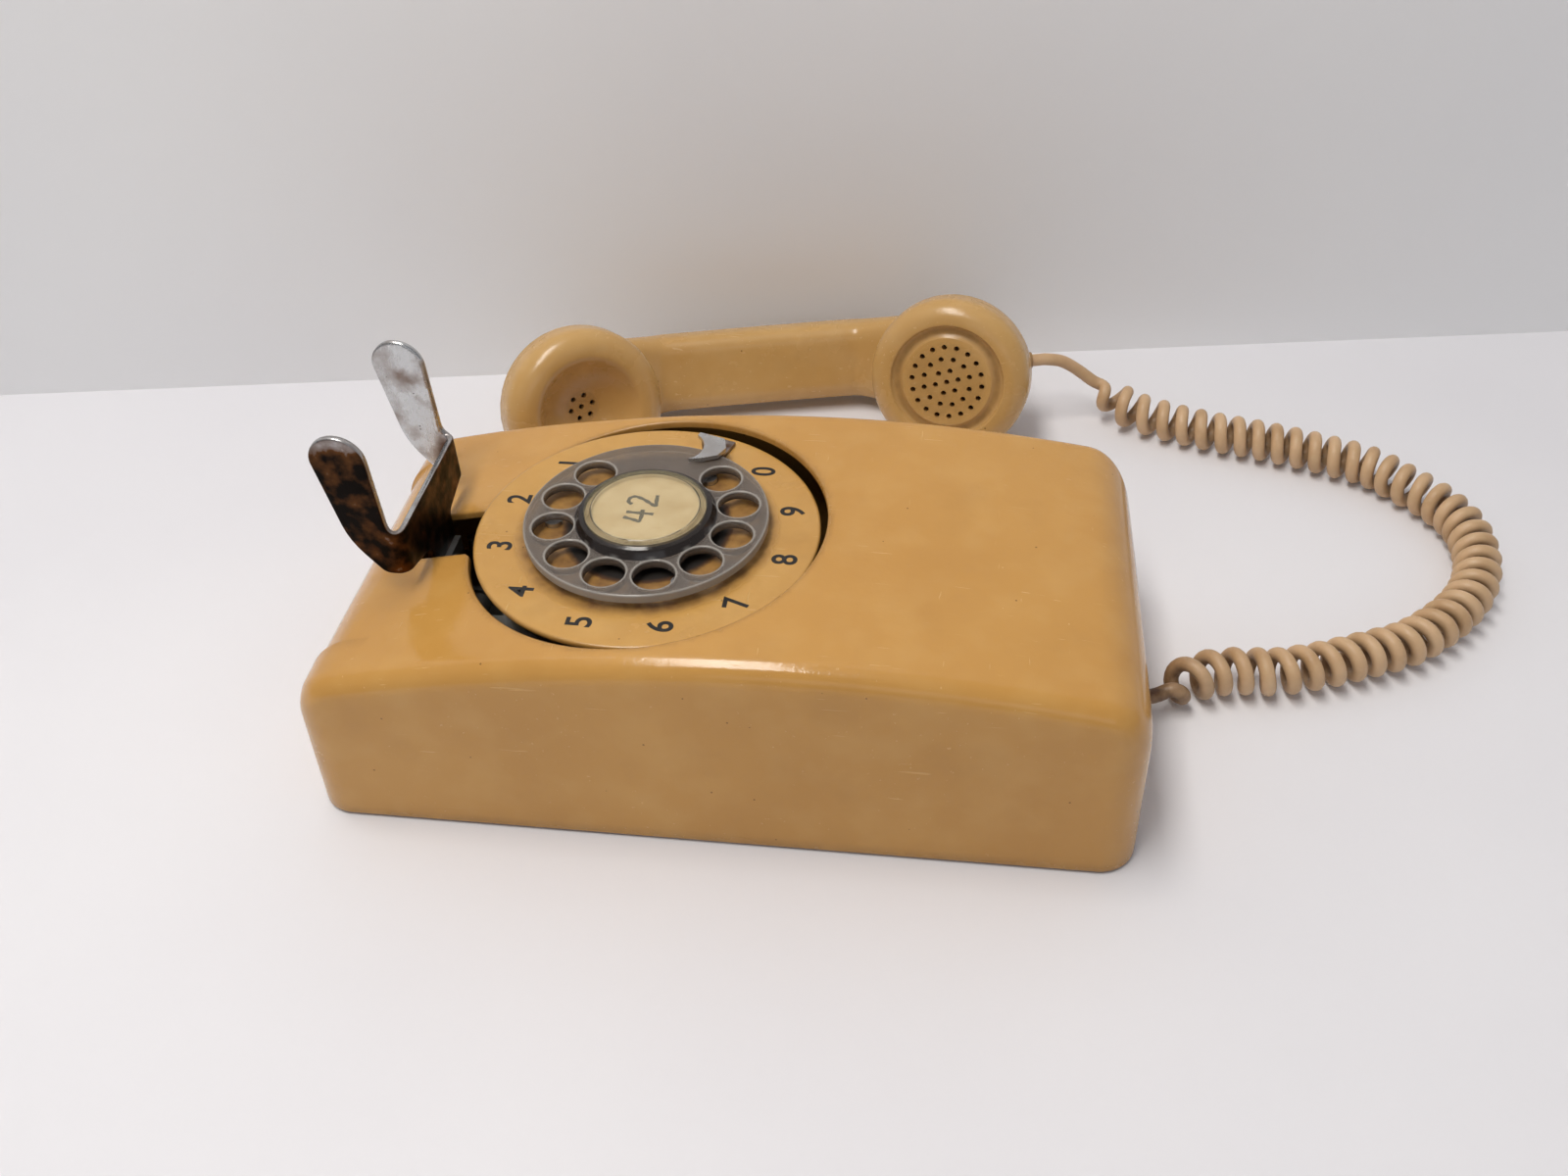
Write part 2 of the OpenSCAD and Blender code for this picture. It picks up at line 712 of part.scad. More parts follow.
module hook_cradle() {
  color("#c5c7ca") difference() {
    union() {
      translate([arm_x - strip_t / 2, 0, 0]) rotate([90, 0, 90]) linear_extrude(strip_t) cradle_plate();
      for (s = [-1, 1]) {
        translate([fold_x, s * cradle_half + (1 - s) / 2 * strip_t, cradle_z])
          rotate([90, 0, 0]) linear_extrude(strip_t) prong_outline();
        translate([fold_x, s * (cradle_half - fold_r), cradle_low]) intersection() {
          difference() {
            cylinder(r = fold_r, h = bar_h);
            translate([0, 0, -1]) cylinder(r = fold_r - strip_t, h = bar_h + 2);
          }
          translate([0, (s - 1) / 2 * fold_r, 0]) cube([fold_r, fold_r, bar_h]);
        }
      }
    }
    for (z = [lever_top - 10, lever_top - 4])
      translate([arm_x, 0, z]) rotate([0, 90, 0]) cylinder(d = 3, h = 12, center = true);
  }
}

lever_x = arm_x + strip_t / 2;

module hook_lever() {
  color("#8f8a80") difference() {
    union() {
      translate([lever_x, -arm_w / 2 + 1, pivot_z + 2]) cube([2, arm_w - 2, lever_top - pivot_z - 2]);
      translate([pivot_x, 0, pivot_z]) rod_y(pivot_d + 4.4, arm_w);
      translate([pivot_x, -5, pivot_z - 3.6]) cube([24, 10, 2]);
    }
    translate([pivot_x, 0, pivot_z]) rod_y(pivot_d + 2 * fit, arm_w + 4);
    for (z = [lever_top - 10, lever_top - 4])
      translate([arm_x, 0, z]) rotate([0, 90, 0]) cylinder(d = 3, h = 12, center = true);
  }
}

module hook_rivets() {
  color("silver") for (z = [lever_top - 10, lever_top - 4]) translate([lever_x, 0, z]) rotate([0, 90, 0]) {
    translate([0, 0, -strip_t]) cylinder(d = 2.96, h = strip_t + 2);
    translate([0, 0, 2]) cylinder(d = 5, h = 1);
    translate([0, 0, -strip_t - 1]) cylinder(d = 5, h = 1);
  }
}

ear_y = arm_w / 2 + 0.6;
ear_t = 1.8;

module hook_bracket() {
  color("#8c8f90") difference() {
    union() {
      for (s = [-1, 1]) {
        translate([pivot_x - 9, s * (ear_y + ear_t / 2) - ear_t / 2, plate_t]) cube([18, ear_t, pivot_z + 5 - plate_t]);
        translate([pivot_x - 9, s * (ear_y + 6) - 6, plate_t]) cube([18, 12, 1.6]);
      }
    }
    translate([pivot_x, 0, pivot_z]) rod_y(pivot_d, 60);
  }
}

module hook_pin() {
  color("silver") translate([pivot_x, 0, pivot_z]) {
    rod_y(pivot_d, 2 * (ear_y + ear_t));
    for (s = [-1, 1]) translate([0, s * (ear_y + ear_t + 0.5), 0]) rod_y(pivot_d + 2.4, 1);
  }
}

spring_x = pivot_x + 17;
spring_z = plate_t + 6.7;
spring_pitch = 2.4;
spring_t = 0.5;
spring_l = 26;

module switch_springs() {
  color("#c8c3a8") for (i = [0 : 3]) translate([spring_x, -4, spring_z + i * spring_pitch]) cube([spring_l, 8, spring_t]);
}

module switch_insulators() {
  color("#6b3f22") {
    translate([spring_x + 16, -5, plate_t]) cube([9, 10, spring_z - plate_t]);
    for (i = [0 : 3]) translate([spring_x + 16, -5, spring_z + i * spring_pitch + spring_t])
      cube([9, 10, i == 3 ? 1.2 : spring_pitch - spring_t]);
  }
}

// Ringer

gong_d = (housing_w - 2 * gong_side - gong_mid) / 2;
gong_gap = gong_d + gong_mid;
gong_x = hl - gong_end - gong_d / 2;
gong_z0 = 12;
gong_top = gong_z0 + gong_h;
coil_x = gong_x - 40;
coil_z = 18;
pivot_rx = gong_x - 21;

module at_gongs(z) {
  for (s = [-1, 1]) translate([gong_x, s * gong_gap / 2, z]) children();
}

module ringer_frame() {
  color("#8c8f90") difference() {
    union() {
      translate([coil_x - coil_d / 2, -gong_gap / 2 - 8, plate_t])
        cube([gong_x - coil_x + coil_d / 2 + 10, gong_gap + 16, 1.6]);
      for (s = [-1, 1]) translate([coil_x - 10, s * (coil_l / 2 + 1.6) - 0.8, plate_t]) cube([20, 1.6, coil_z + 8 - plate_t]);
      translate([pivot_rx - 4, -4, plate_t]) cube([8, 8, 7]);
    }
    translate([coil_x, 0, coil_z]) rod_y(8, coil_l + 20);
    translate([pivot_rx, 0, 0]) cylinder(d = 2.4, h = 20);
    at_gongs(plate_t - 1) cylinder(d = 4, h = 4);
  }
}

module ringer_coil() {
  color("#7d3b1e") translate([coil_x, 0, coil_z]) difference() {
    union() {
      rod_y(coil_d - 3, coil_l);
      for (s = [-1, 1]) translate([0, s * (coil_l / 2 - 0.8), 0]) rod_y(coil_d, 1.6);
    }
    rod_y(8, coil_l + 2);
  }
}

module ringer_core() {
  color("#77797a") translate([coil_x, 0, coil_z]) {
    rod_y(7.9, coil_l + 6);
    for (s = [-1, 1]) translate([-4, s * (coil_l / 2 + 4) - 1.2, -4]) cube([18, 2.4, 8]);
  }
}

gong_t = 1.2;
gong_round = 11;

module gong_outline(r, h, e) {
  intersection() {
    square([r, h]);
    union() {
      square([r, h - e]);
      square([r - e, h]);
      translate([r - e, h - e]) circle(e);
    }
  }
}

module gongs() {
  color("#b9924a") at_gongs(gong_z0) rotate_extrude($fn = 96) difference() {
    gong_outline(gong_d / 2, gong_h, gong_round);
    translate([0, -1]) gong_outline(gong_d / 2 - gong_t, gong_h - gong_t + 1, gong_round - gong_t);
    translate([0, -1]) square([2.05, gong_h + 2]);
  }
}

module gong_posts() {
  color("silver") at_gongs(plate_t) difference() {
    union() {
      cylinder(d = 3.9, h = 1.7);
      translate([0, 0, 1.6]) cylinder(d = 8, h = gong_top - gong_t - plate_t - 1.6);
    }
    translate([0, 0, gong_top - plate_t - 10]) cylinder(d = 3, h = 12);
  }
}

module gong_screws() {
  color("silver") at_gongs(gong_top + skin) pan_screw(2.94, 8, 7, 2);
}

hammer_z = gong_z0 + 3;
armature_l = coil_l - 8;

module clapper() {
  l = gong_x - pivot_rx;
  color("#9a9c9b") difference() {
    union() {
      translate([pivot_rx, 0, plate_t + 7.3]) cylinder(d = 5, h = hammer_z - plate_t - 5);
      translate([pivot_rx, 0, hammer_z]) rotate([0, 90, 0]) cylinder(d = 1.8, h = l, $fn = 24);
      translate([gong_x, 0, hammer_z - 3]) cylinder(d = 7.4, h = 6);
      translate([pivot_rx - 3, -armature_l / 2, hammer_z - 1]) cube([2.4, armature_l, 4]);
    }
    translate([pivot_rx, 0, 0]) cylinder(d = 2.4 + 2 * fit, h = 30);
  }
}

module clapper_pin() {
  color("silver") translate([pivot_rx, 0, 0]) {
    translate([0, 0, plate_t]) cylinder(d = 2.4, h = hammer_z + 5 - plate_t);
    translate([0, 0, hammer_z + 3.3]) cylinder(d = 4, h = 0.8);
  }
}

// Circuit and line parts

block_x0 = spring_x + spring_l + 3;
block_x1 = coil_x - coil_d / 2 - block_gap;
block_l = block_x1 - block_x0;
block_x = (block_x0 + block_x1) / 2;

module at_terminals() {
  for (i = [0 : 4], s = [-1, 1])
    translate([block_x + (i - 2) * block_l / 5.4, s * (block_w / 2 - 6), plate_t + block_h]) children();
}

module network_block() {
  color("#4a3226") difference() {
    translate([block_x, 0, plate_t]) rounded_plate(block_l, block_w, 3, block_h);
    at_terminals() translate([0, 0, -7]) cylinder(d = 3, h = 8);
  }
}

module terminal_screws() {
  color("#b59a5a") at_terminals() translate([0, 0, skin]) pan_screw(2.94, 6, 6, 1.8);
}

can_x0 = dial_x + bracket_w / 2 + can_gap;
can_x1 = coil_x - coil_d / 2 - can_gap;

module capacitor() {
  color("#8fa3ad") translate([can_x0, -block_w / 2 - 1.5 - cap_can_d, plate_t + cap_can_d / 2 + 0.1]) rotate([0, 90, 0])
    cylinder(d = cap_can_d, h = can_x1 - can_x0);
}

module cord_grommet() {
  color("#3a332c") difference() {
    union() {
      translate([hl - 6, 0, cord_z]) rotate([0, 90, 0]) cylinder(d = grommet_d - 0.2, h = 7.4);
      translate([hl - 6, 0, cord_z]) rotate([0, 90, 0]) cylinder(d = grommet_d + 3, h = 2.6);
    }
    translate([hl - 7, 0, cord_z]) rotate([0, 90, 0]) cylinder(d = cord_d - 1, h = 4);
  }
}

// Handset: in its own frame X runs along the handle and Z points out of the caps

handset_at = [dial_x + 21, 126, 35.4];
cup_r = cap_d / 2;
neck_r = cup_r - cap_wall - 0.2;

module at_handset() {
  translate(handset_at) rotate([handset_roll, 0, handset_yaw]) children();
}

module at_receiver() {
  at_handset() translate([-rim_half, 0, 0]) rotate([0, cap_tilt, 0]) children();
}

module at_transmitter() {
  at_handset() translate([rim_half, 0, 0]) rotate([0, -cap_tilt, 0]) children();
}

module at_cups() {
  for (s = [-1, 1]) at_handset() translate([s * rim_half, 0, 0]) rotate([0, -s * cap_tilt, 0]) children();
}

cup_edge = 4;
arch = 1;
grip_half = 44;
arch_r = grip_half * grip_half / (2 * arch);
grip_turn = 2 * asin(grip_half / arch_r);
grip_z = -handle_drop - handle_t / 2 - arch;
grip_r = 6;

module cup_solid() {
  rotate_extrude($fn = 96) polygon([
    [0, -cap_h], [cup_r, -cap_h], [cup_end_d / 2, -cap_h - cup_h + cup_edge],
    [cup_end_d / 2 - 1.4, -cap_h - cup_h + 1.2], [cup_end_d / 2 - cup_edge, -cap_h - cup_h], [0, -cap_h - cup_h]
  ]);
}

module grip_section() {
  square([handle_t - 2 * grip_r, handle_w], center = true);
  square([handle_t, handle_w - 2 * grip_r], center = true);
  for (x = [-1, 1], y = [-1, 1]) translate([x * (handle_t / 2 - grip_r), y * (handle_w / 2 - grip_r)]) circle(grip_r);
}

module grip() {
  translate([0, 0, grip_z + arch_r]) rotate([90, 0, 0]) rotate(-90 - grip_turn / 2)
    rotate_extrude(angle = grip_turn, $fn = 720) translate([arch_r, 0]) grip_section();
}

module handle_slice(x, z, w, t) {
  translate([x, 0, z]) rotate([90, 0, 90]) linear_extrude(0.4) polygon(rounded(w, t, grip_r, 4));
}

module neck(s) {
  hull() {
    handle_slice(s * (grip_half - 3), grip_z + arch, handle_w - 0.4, handle_t - 0.4);
    translate([s * rim_half, 0, 0]) rotate([0, -s * cap_tilt, 0]) translate([-s * 3, 0, -cap_h - cup_h + 4])
      cylinder(r = cup_end_d / 2 - 4, h = 6, $fn = 32);
    handle_slice(s * (rim_half - 10), grip_z, handle_w - 4, handle_t - 4);
  }
}

module handset_body() {
  color("#c99c52") difference() {
    union() {
      at_cups() {
        cup_solid();
        translate([0, 0, -cap_h - 1]) cylinder(r = neck_r, h = 6, $fn = 96);
      }
      at_handset() {
        grip();
        neck(-1);
        neck(1);
      }
    }
    at_cups() translate([0, 0, capsule_z]) cylinder(r1 = capsule_r + 0.4, r2 = neck_r - 3, h = cup_h + 4, $fn = 96);
    at_exit() translate([-10, 0, 0]) rotate([0, 90, 0]) cylinder(d = grommet_in, h = 20);
  }
}

module cap_shell() {
  e = 8;
  difference() {
    union() {
      translate([0, -cap_h]) square([cup_r - e, cap_h]);
      translate([0, -cap_h]) square([cup_r, cap_h - e]);
      translate([cup_r - e, -e]) circle(e);
    }
    translate([0, -cap_h - 1]) square([neck_r + 0.2, 6.2]);
    children();
  }
}

module receiver_profile() {
  dish_r = 21;
  big = (dish_r * dish_r + dish_depth * dish_depth) / (2 * dish_depth);
  cap_shell() {
    intersection() {
      translate([0, big - dish_depth]) circle(big, $fn = 128);
      translate([0, -dish_depth - 1]) square([dish_r + 1, dish_depth + 2]);
    }
    difference() {
      translate([0, -cap_h - 1]) square([cup_r - cap_wall, cap_h - 6]);
      translate([0, big - dish_depth]) circle(big + cap_wall, $fn = 128);
    }
  }
}

module transmitter_profile() {
  disc_r = 17.6;
  moat = 2.6;
  cap_shell() {
    translate([disc_r + moat, 0.4]) circle(moat, $fn = 48);
    translate([0, -0.9]) square([disc_r + moat, 2]);
    translate([0, -cap_h - 1]) square([cup_r - cap_wall - 1, cap_h - 5]);
  }
}

module sound_holes(rings) {
  translate([0, 0, -cap_h - 1]) {
    cylinder(d = sound_d, h = cap_h + 2, $fn = 20);
    for (k = [1 : rings], i = [0 : 6 * k - 1])
      rotate(i * 60 / k + 13) translate([k * sound_pitch, 0, 0]) cylinder(d = sound_d, h = cap_h + 2, $fn = 20);
  }
}

module receiver_cap() {
  color("#c99c52") at_receiver() difference() {
    rotate_extrude($fn = 96) receiver_profile();
    sound_holes(1);
  }
}

module transmitter_cap() {
  color("#c99c52") at_transmitter() difference() {
    rotate_extrude($fn = 96) transmitter_profile();
    sound_holes(3);
  }
}

capsule_r = cup_end_d / 2 - 2;
capsule_z = -cap_h - cup_h + 7;

module receiver_capsule() {
  color("#9fa3a6") at_receiver() {
    translate([0, 0, capsule_z]) cylinder(r = capsule_r, h = 8);
    translate([0, 0, capsule_z + 7.9]) cylinder(r = capsule_r - 5, h = 5);
  }
}

module transmitter_capsule() {
  color("#9fa3a6") at_transmitter() {
    translate([0, 0, capsule_z]) cylinder(r = capsule_r, h = 12);
    translate([0, 0, capsule_z + 11.9]) cylinder(r = capsule_r - 3, h = 4);
  }
}

grommet_in = 7;
exit_u = 107;
exit_n = -23;

module at_exit() {
  at_handset() translate([exit_u, 0, exit_n]) children();
}

module handset_grommet() {
  color("#8a6a45") at_exit() translate([-4.2, 0, 0]) rotate([0, 90, 0]) cylinder(d = grommet_in - 0.1, h = 8.2);
}

// Curly cord: one unbroken tube that winds round a route chosen by hand.
// Each point gives x, y, z and the number of turns wound so far.

cord_route = [
  [128.4, 0, 9, 0], [131.4, 0, 9, 0], [134.4, 0, 9, 0], [141, 3, 8.8, 0.3], [147.5, 9, 8.6, 1.1],
  [156, 13.4, 8.6, 2.2], [166, 15.3, 8.6, 3.5], [177, 16, 8.6, 5], [191.6, 20.3, 8.6, 7], [206.9, 26.6, 8.6, 9.2],
  [222.8, 34.1, 8.6, 11.6], [237.4, 46.3, 8.6, 14.1], [248.7, 60.1, 8.6, 16.5], [255.2, 74.5, 8.6, 18.6],
  [257.5, 89, 8.6, 20.6], [256.2, 102.4, 8.6, 22.4], [250, 115, 8.6, 24.3], [241, 125.3, 8.6, 26.1],
  [230.3, 136.1, 8.6, 28.2], [216.3, 142.5, 8.6, 30.3], [201.7, 147.8, 8.6, 32.4], [186.1, 152.4, 8.6, 34.6],
  [170.1, 156.6, 8.6, 36.8], [152.5, 163.1, 8.6, 39.2], [138, 169.4, 10, 41], [128, 175.4, 14.4, 42.2],
  [118.6, 177.4, 21, 42.6], [110.4, 176.2, 26.6, 42.6], [103.6, 174.6, 28.4, 42.6], [100.1, 173.8, 28.5, 42.6],
  [97.2, 173.1, 28.5, 42.6]
];
cord_turns = cord_route[len(cord_route) - 1][3];
curl_r = (curl_d - cord_d) / 2;
rings_per_turn = 8;
cord_sides = 6;

function unit(v) = v / norm(v);

function xyz(v) = [v.x, v.y, v.z];

function knots(i) = [for (k = [-1 : 2]) cord_route[min(max(i + k, 0), len(cord_route) - 1)]];

function spline_at(p, t) =
  p[1] + (p[2] - p[0]) * t / 2
  + (2 * p[0] - 5 * p[1] + 4 * p[2] - p[3]) * t * t / 2
  + (3 * p[1] - p[0] - 3 * p[2] + p[3]) * t * t * t / 2;

function spline_dir(p, t) =
  (p[2] - p[0]) / 2
  + (2 * p[0] - 5 * p[1] + 4 * p[2] - p[3]) * t
  + 3 * (3 * p[1] - p[0] - 3 * p[2] + p[3]) * t * t / 2;

function ease(u) = let (v = min(1, max(0, u))) v * v * (3 - 2 * v);

cord_steps = concat(
  [for (i = [0 : len(cord_route) - 2])
    let (n = max(1, ceil(rings_per_turn * (cord_route[i + 1][3] - cord_route[i][3]))))
    for (j = [0 : n - 1]) [i, j / n]],
  [[len(cord_route) - 2, 1]]
);

cord_frames = [
  for (s = cord_steps)
    let (p = knots(s[0]),
         c = spline_at(p, s[1]),
         t = unit(xyz(spline_dir(p, s[1]))),
         n = unit([-t.y, t.x, 0]),
         out = cos(360 * c[3]) * n + sin(360 * c[3]) * cross(t, n))
    [xyz(c) + curl_r * ease(min(c[3], cord_turns - c[3])) * out, out, t]
];
cord_last = len(cord_frames) - 1;

cord_gap = min([
  for (i = [0 : cord_last - 6], j = [i + 6 : cord_last])
    let (d = norm(cord_frames[i][0] - cord_frames[j][0])) if (d > 0) d
]) - cord_d;

module handset_cord() {
  echo(least_gap_of_the_cord_to_itself = cord_gap);
  rings = [
    for (i = [0 : cord_last])
      let (f = cord_frames[i],
           t = i == 0 || i == cord_last ? f[2] : unit(cord_frames[i + 1][0] - cord_frames[i - 1][0]),
           e = unit(f[1] - (f[1] * t) * t),
           g = cross(t, e))
      [for (j = [0 : cord_sides - 1])
        f[0] + cord_d / 2 * (cos(j * 360 / cord_sides) * e + sin(j * 360 / cord_sides) * g)]
  ];
  m = cord_sides;
  color("#a98560") polyhedron(
    [for (r = rings) each r],
    concat(
      [[for (j = [0 : m - 1]) j]],
      [for (i = [0 : cord_last - 1], j = [0 : m - 1]) let (k = (j + 1) % m) [i * m + j, (i + 1) * m + j, i * m + k]],
      [for (i = [0 : cord_last - 1], j = [0 : m - 1])
        let (k = (j + 1) % m) [(i + 1) * m + j, (i + 1) * m + k, i * m + k]],
      [[for (j = [m - 1 : -1 : 0]) cord_last * m + j]]
    )
  );
}

base_plate();
housing();
housing_screws();
number_plate();
number_plate_screws();
finger_stop();
dial_frame();
dial_bridge();
dial_pillars();
dial_bracket();
governor_cup();
pulse_contacts();
contact_insulators();
finger_wheel();
card_retainer();
number_card();
hub_screw();
dial_shaft();
main_gear();
pulse_arbor();
pulse_pinion();
pulse_cam();
drive_wheel();
governor_arbor();
governor_weights();
hook_cradle();
hook_lever();
hook_rivets();
hook_bracket();
hook_pin();
switch_springs();
switch_insulators();
ringer_frame();
ringer_coil();
ringer_core();
gongs();
gong_posts();
gong_screws();
clapper();
clapper_pin();
network_block();
terminal_screws();
capacitor();
cord_grommet();
handset_body();
receiver_cap();
transmitter_cap();
receiver_capsule();
transmitter_capsule();
handset_grommet();
handset_cord();
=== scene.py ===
import json
import math

import bmesh
import bpy
from mathutils import Euler, Matrix, Vector

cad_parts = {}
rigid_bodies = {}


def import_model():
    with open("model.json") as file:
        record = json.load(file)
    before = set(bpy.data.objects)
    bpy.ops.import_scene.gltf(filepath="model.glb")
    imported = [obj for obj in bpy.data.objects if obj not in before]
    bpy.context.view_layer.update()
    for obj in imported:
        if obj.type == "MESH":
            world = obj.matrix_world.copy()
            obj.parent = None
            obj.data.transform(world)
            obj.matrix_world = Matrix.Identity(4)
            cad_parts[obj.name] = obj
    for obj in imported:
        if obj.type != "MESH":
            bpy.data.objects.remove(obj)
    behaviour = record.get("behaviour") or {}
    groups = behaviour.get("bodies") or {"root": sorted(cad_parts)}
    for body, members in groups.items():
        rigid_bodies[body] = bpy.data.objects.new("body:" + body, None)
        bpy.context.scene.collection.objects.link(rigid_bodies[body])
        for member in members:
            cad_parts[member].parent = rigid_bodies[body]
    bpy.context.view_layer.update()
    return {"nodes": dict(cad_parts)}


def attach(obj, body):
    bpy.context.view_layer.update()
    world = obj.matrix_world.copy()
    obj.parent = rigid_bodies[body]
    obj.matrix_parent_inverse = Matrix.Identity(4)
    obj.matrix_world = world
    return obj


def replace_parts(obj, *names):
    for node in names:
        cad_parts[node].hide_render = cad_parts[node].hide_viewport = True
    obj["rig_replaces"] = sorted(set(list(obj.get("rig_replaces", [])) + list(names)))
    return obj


# Rotary wall telephone in tan moulded plastic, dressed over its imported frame.
# Lengths in the dictionaries are millimetres in the frame's own axes; meshes are made in metres.

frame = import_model()
scene = bpy.context.scene
scene.view_settings.view_transform = "Standard"
print("stage 1: frame loaded with", len(frame["nodes"]), "nodes")


# Camera, where the photographer stood

cameraValues = {
    "position": (62.7, -321.3, 329.4),
    "yaw": 0.147,
    "pitch": -0.716,
    "roll": -0.038,
    "focalPixels": 1380.3,
    "imageWidth": 1600,
}


def addCamera(v):
    yaw, pitch, roll = v["yaw"], v["pitch"], v["roll"]
    forward = Vector((-math.sin(yaw) * math.cos(pitch), math.cos(yaw) * math.cos(pitch), math.sin(pitch)))
    level = Vector((math.cos(yaw), math.sin(yaw), 0))
    lift = level.cross(forward)
    right = math.cos(roll) * level + math.sin(roll) * lift
    up = math.cos(roll) * lift - math.sin(roll) * level
    data = bpy.data.cameras.new("photo_camera")
    data.sensor_width = 36
    data.lens = v["focalPixels"] * 36 / v["imageWidth"]
    data.clip_start = 0.01
    camera = bpy.data.objects.new("photo_camera", data)
    turn = Matrix((right, up, -forward)).transposed().to_4x4()
    camera.matrix_world = Matrix.Translation(Vector(v["position"]) / 1000) @ turn
    scene.collection.objects.link(camera)
    scene.camera = camera


addCamera(cameraValues)


# Materials: helpers for nodes, sums and patterns, then one function for each kind of finish


def linear(hexText):
    channels = [int(hexText[i:i + 2], 16) / 255 for i in (1, 3, 5)]
    return [c / 12.92 if c <= 0.04045 else ((c + 0.055) / 1.055) ** 2.4 for c in channels] + [1.0]


def addNode(tree, kind, inputs=None, **settings):
    node = tree.nodes.new(kind)
    for key, value in settings.items():
        setattr(node, key, value)
    for key, value in (inputs or {}).items():
        if isinstance(value, bpy.types.NodeSocket):
            tree.links.new(value, node.inputs[key])
        else:
            node.inputs[key].default_value = value
    return node


def startMaterial(name):
    material = bpy.data.materials.new(name)
    material.use_nodes = True
    tree = material.node_tree
    tree.nodes.clear()
    addNode(tree, "ShaderNodeTexCoord").name = "place"
    return material, tree


def product(tree, first, *others, **settings):
    for value in others:
        step = addNode(tree, "ShaderNodeMath", {0: first, 1: value}, operation="MULTIPLY", **settings)
        first = step.outputs[0]
    return first


def weightedSum(tree, start, *terms, **settings):
    # start, plus each value times its weight
    for value, weight in terms:
        inputs = {0: value, 1: weight, 2: start}
        start = addNode(tree, "ShaderNodeMath", inputs, operation="MULTIPLY_ADD", **settings).outputs[0]
    return start


def layered(tree, base, *layers):
    # the base colour with each colour laid over it by its amount; colours are sRGB hex texts
    under = linear(base)
    for over, amount in layers:
        inputs = {0: amount, 6: under, 7: linear(over)}
        under = addNode(tree, "ShaderNodeMix", inputs, data_type="RGBA").outputs[2]
    return under


def patches(tree, size, low, high, detail=2.0, stretch=(1, 1, 1), shift=0.0):
    # soft patches about size mm across, from 0 to 1; stretch below 1 draws them out along that axis
    place = addNode(tree, "ShaderNodeMapping", {
        "Vector": tree.nodes["place"].outputs["Object"],
        "Location": (shift, 0.7 * shift, -shift),
        "Scale": stretch,
    })
    shape = {"Vector": place.outputs[0], "Scale": 1000 / size, "Detail": detail}
    noise = addNode(tree, "ShaderNodeTexNoise", shape).outputs[0]
    return addNode(tree, "ShaderNodeMapRange", {"Value": noise, "From Min": low, "From Max": high}).outputs[0]


def specks(tree, spacing, radius, share):
    # round flecks of radius mm, about one in every spacing mm, on the given share of cells
    place = tree.nodes["place"].outputs["Object"]
    cells = addNode(tree, "ShaderNodeTexVoronoi", {"Vector": place, "Scale": 1000 / spacing})
    pick = addNode(tree, "ShaderNodeSeparateColor", {0: cells.outputs["Color"]})
    limits = (cells.outputs["Distance"], radius / spacing), (pick.outputs[0], share)
    near, chosen = [
        addNode(tree, "ShaderNodeMath", {0: value, 1: most}, operation="LESS_THAN").outputs[0]
        for value, most in limits
    ]
    return product(tree, near, chosen)


def grimeMask(tree, amount=1.0):
    # the dirt-and-shade attribute of a mesh, broken up by noise, from 0 to 1; it holds real dirt and painted
    # shade
    stored = addNode(tree, "ShaderNodeAttribute", attribute_name="grime").outputs["Fac"]
    lifted = weightedSum(tree, 0.35, (patches(tree, 5, 0.2, 0.75, detail=4), 0.75))
    return product(tree, product(tree, stored, lifted), amount, use_clamp=True)


def finishMaterial(material, colour, rough, height, reach, **sockets):
    # height is a bump pattern, reach its depth in mm
    tree = material.node_tree
    bump = addNode(tree, "ShaderNodeBump", {"Height": height, "Strength": 1.0, "Distance": reach / 1000})
    inputs = {"Base Color": colour, "Roughness": rough, "Normal": bump.outputs[0], **sockets}
    shader = addNode(tree, "ShaderNodeBsdfPrincipled", inputs)
    addNode(tree, "ShaderNodeOutputMaterial", {0: shader.outputs[0]})
    return material


def tanPlastic(name, base, deep, pale, dirtShadeColour, rough=0.13):
    # ABS, injection moulded in a polished tool: an even warm tan with a wet gloss over faint
    # ripples, handled and dusty, so its gloss is broken by fine scratches, flecks and greasy patches
    material, tree = startMaterial(name)
    longScratch = patches(tree, 0.8, 0.70, 0.74, stretch=(0.04, 1, 0.5), shift=1.3)
    crossScratch = patches(tree, 0.8, 0.71, 0.75, stretch=(0.6, 0.06, 0.6), shift=5.9)
    either = addNode(tree, "ShaderNodeMath", {0: longScratch, 1: crossScratch}, operation="MAXIMUM")
    scratch = product(tree, either.outputs[0], patches(tree, 30, 0.4, 0.6, shift=2.2))
    grime = grimeMask(tree)
    stored = addNode(tree, "ShaderNodeAttribute", attribute_name="grime").outputs["Fac"]
    # painted shade: black laid where the mask runs above 1, as on the plate under the wheel's hub; the dirt
    # colour lies over real dirt and painted shade
    blackShade = addNode(tree, "ShaderNodeMapRange", {"Value": stored, "From Min": 1.0, "From Max": 1.7})
    colour = layered(
        tree, base,
        (deep, product(tree, patches(tree, 70, 0.35, 0.7), 0.4)),
        (pale, product(tree, patches(tree, 14, 0.45, 0.8, shift=3.1), 0.22)),
        (dirtShadeColour, product(tree, patches(tree, 26, 0.56, 0.72, detail=6, shift=7.7), 0.08)),
        ("#5C3A16", product(tree, specks(tree, 6.5, 0.33, 0.3), 0.75)),
        ("#E4C48C", product(tree, specks(tree, 9, 0.25, 0.35), 0.5)),
        (pale, product(tree, scratch, 0.45)), (dirtShadeColour, grime), ("#17100B", blackShade.outputs[0]),
    )
    greasy = patches(tree, 18, 0.35, 0.75, detail=5)
    gloss = weightedSum(tree, rough, (greasy, 0.1), (grime, 0.4), (scratch, 0.2))
    height = weightedSum(tree, 0.0, (patches(tree, 2.2, 0.3, 0.7), -0.6), (scratch, -1.0))
    return finishMaterial(material, colour, gloss, height, 0.035, IOR=1.5)


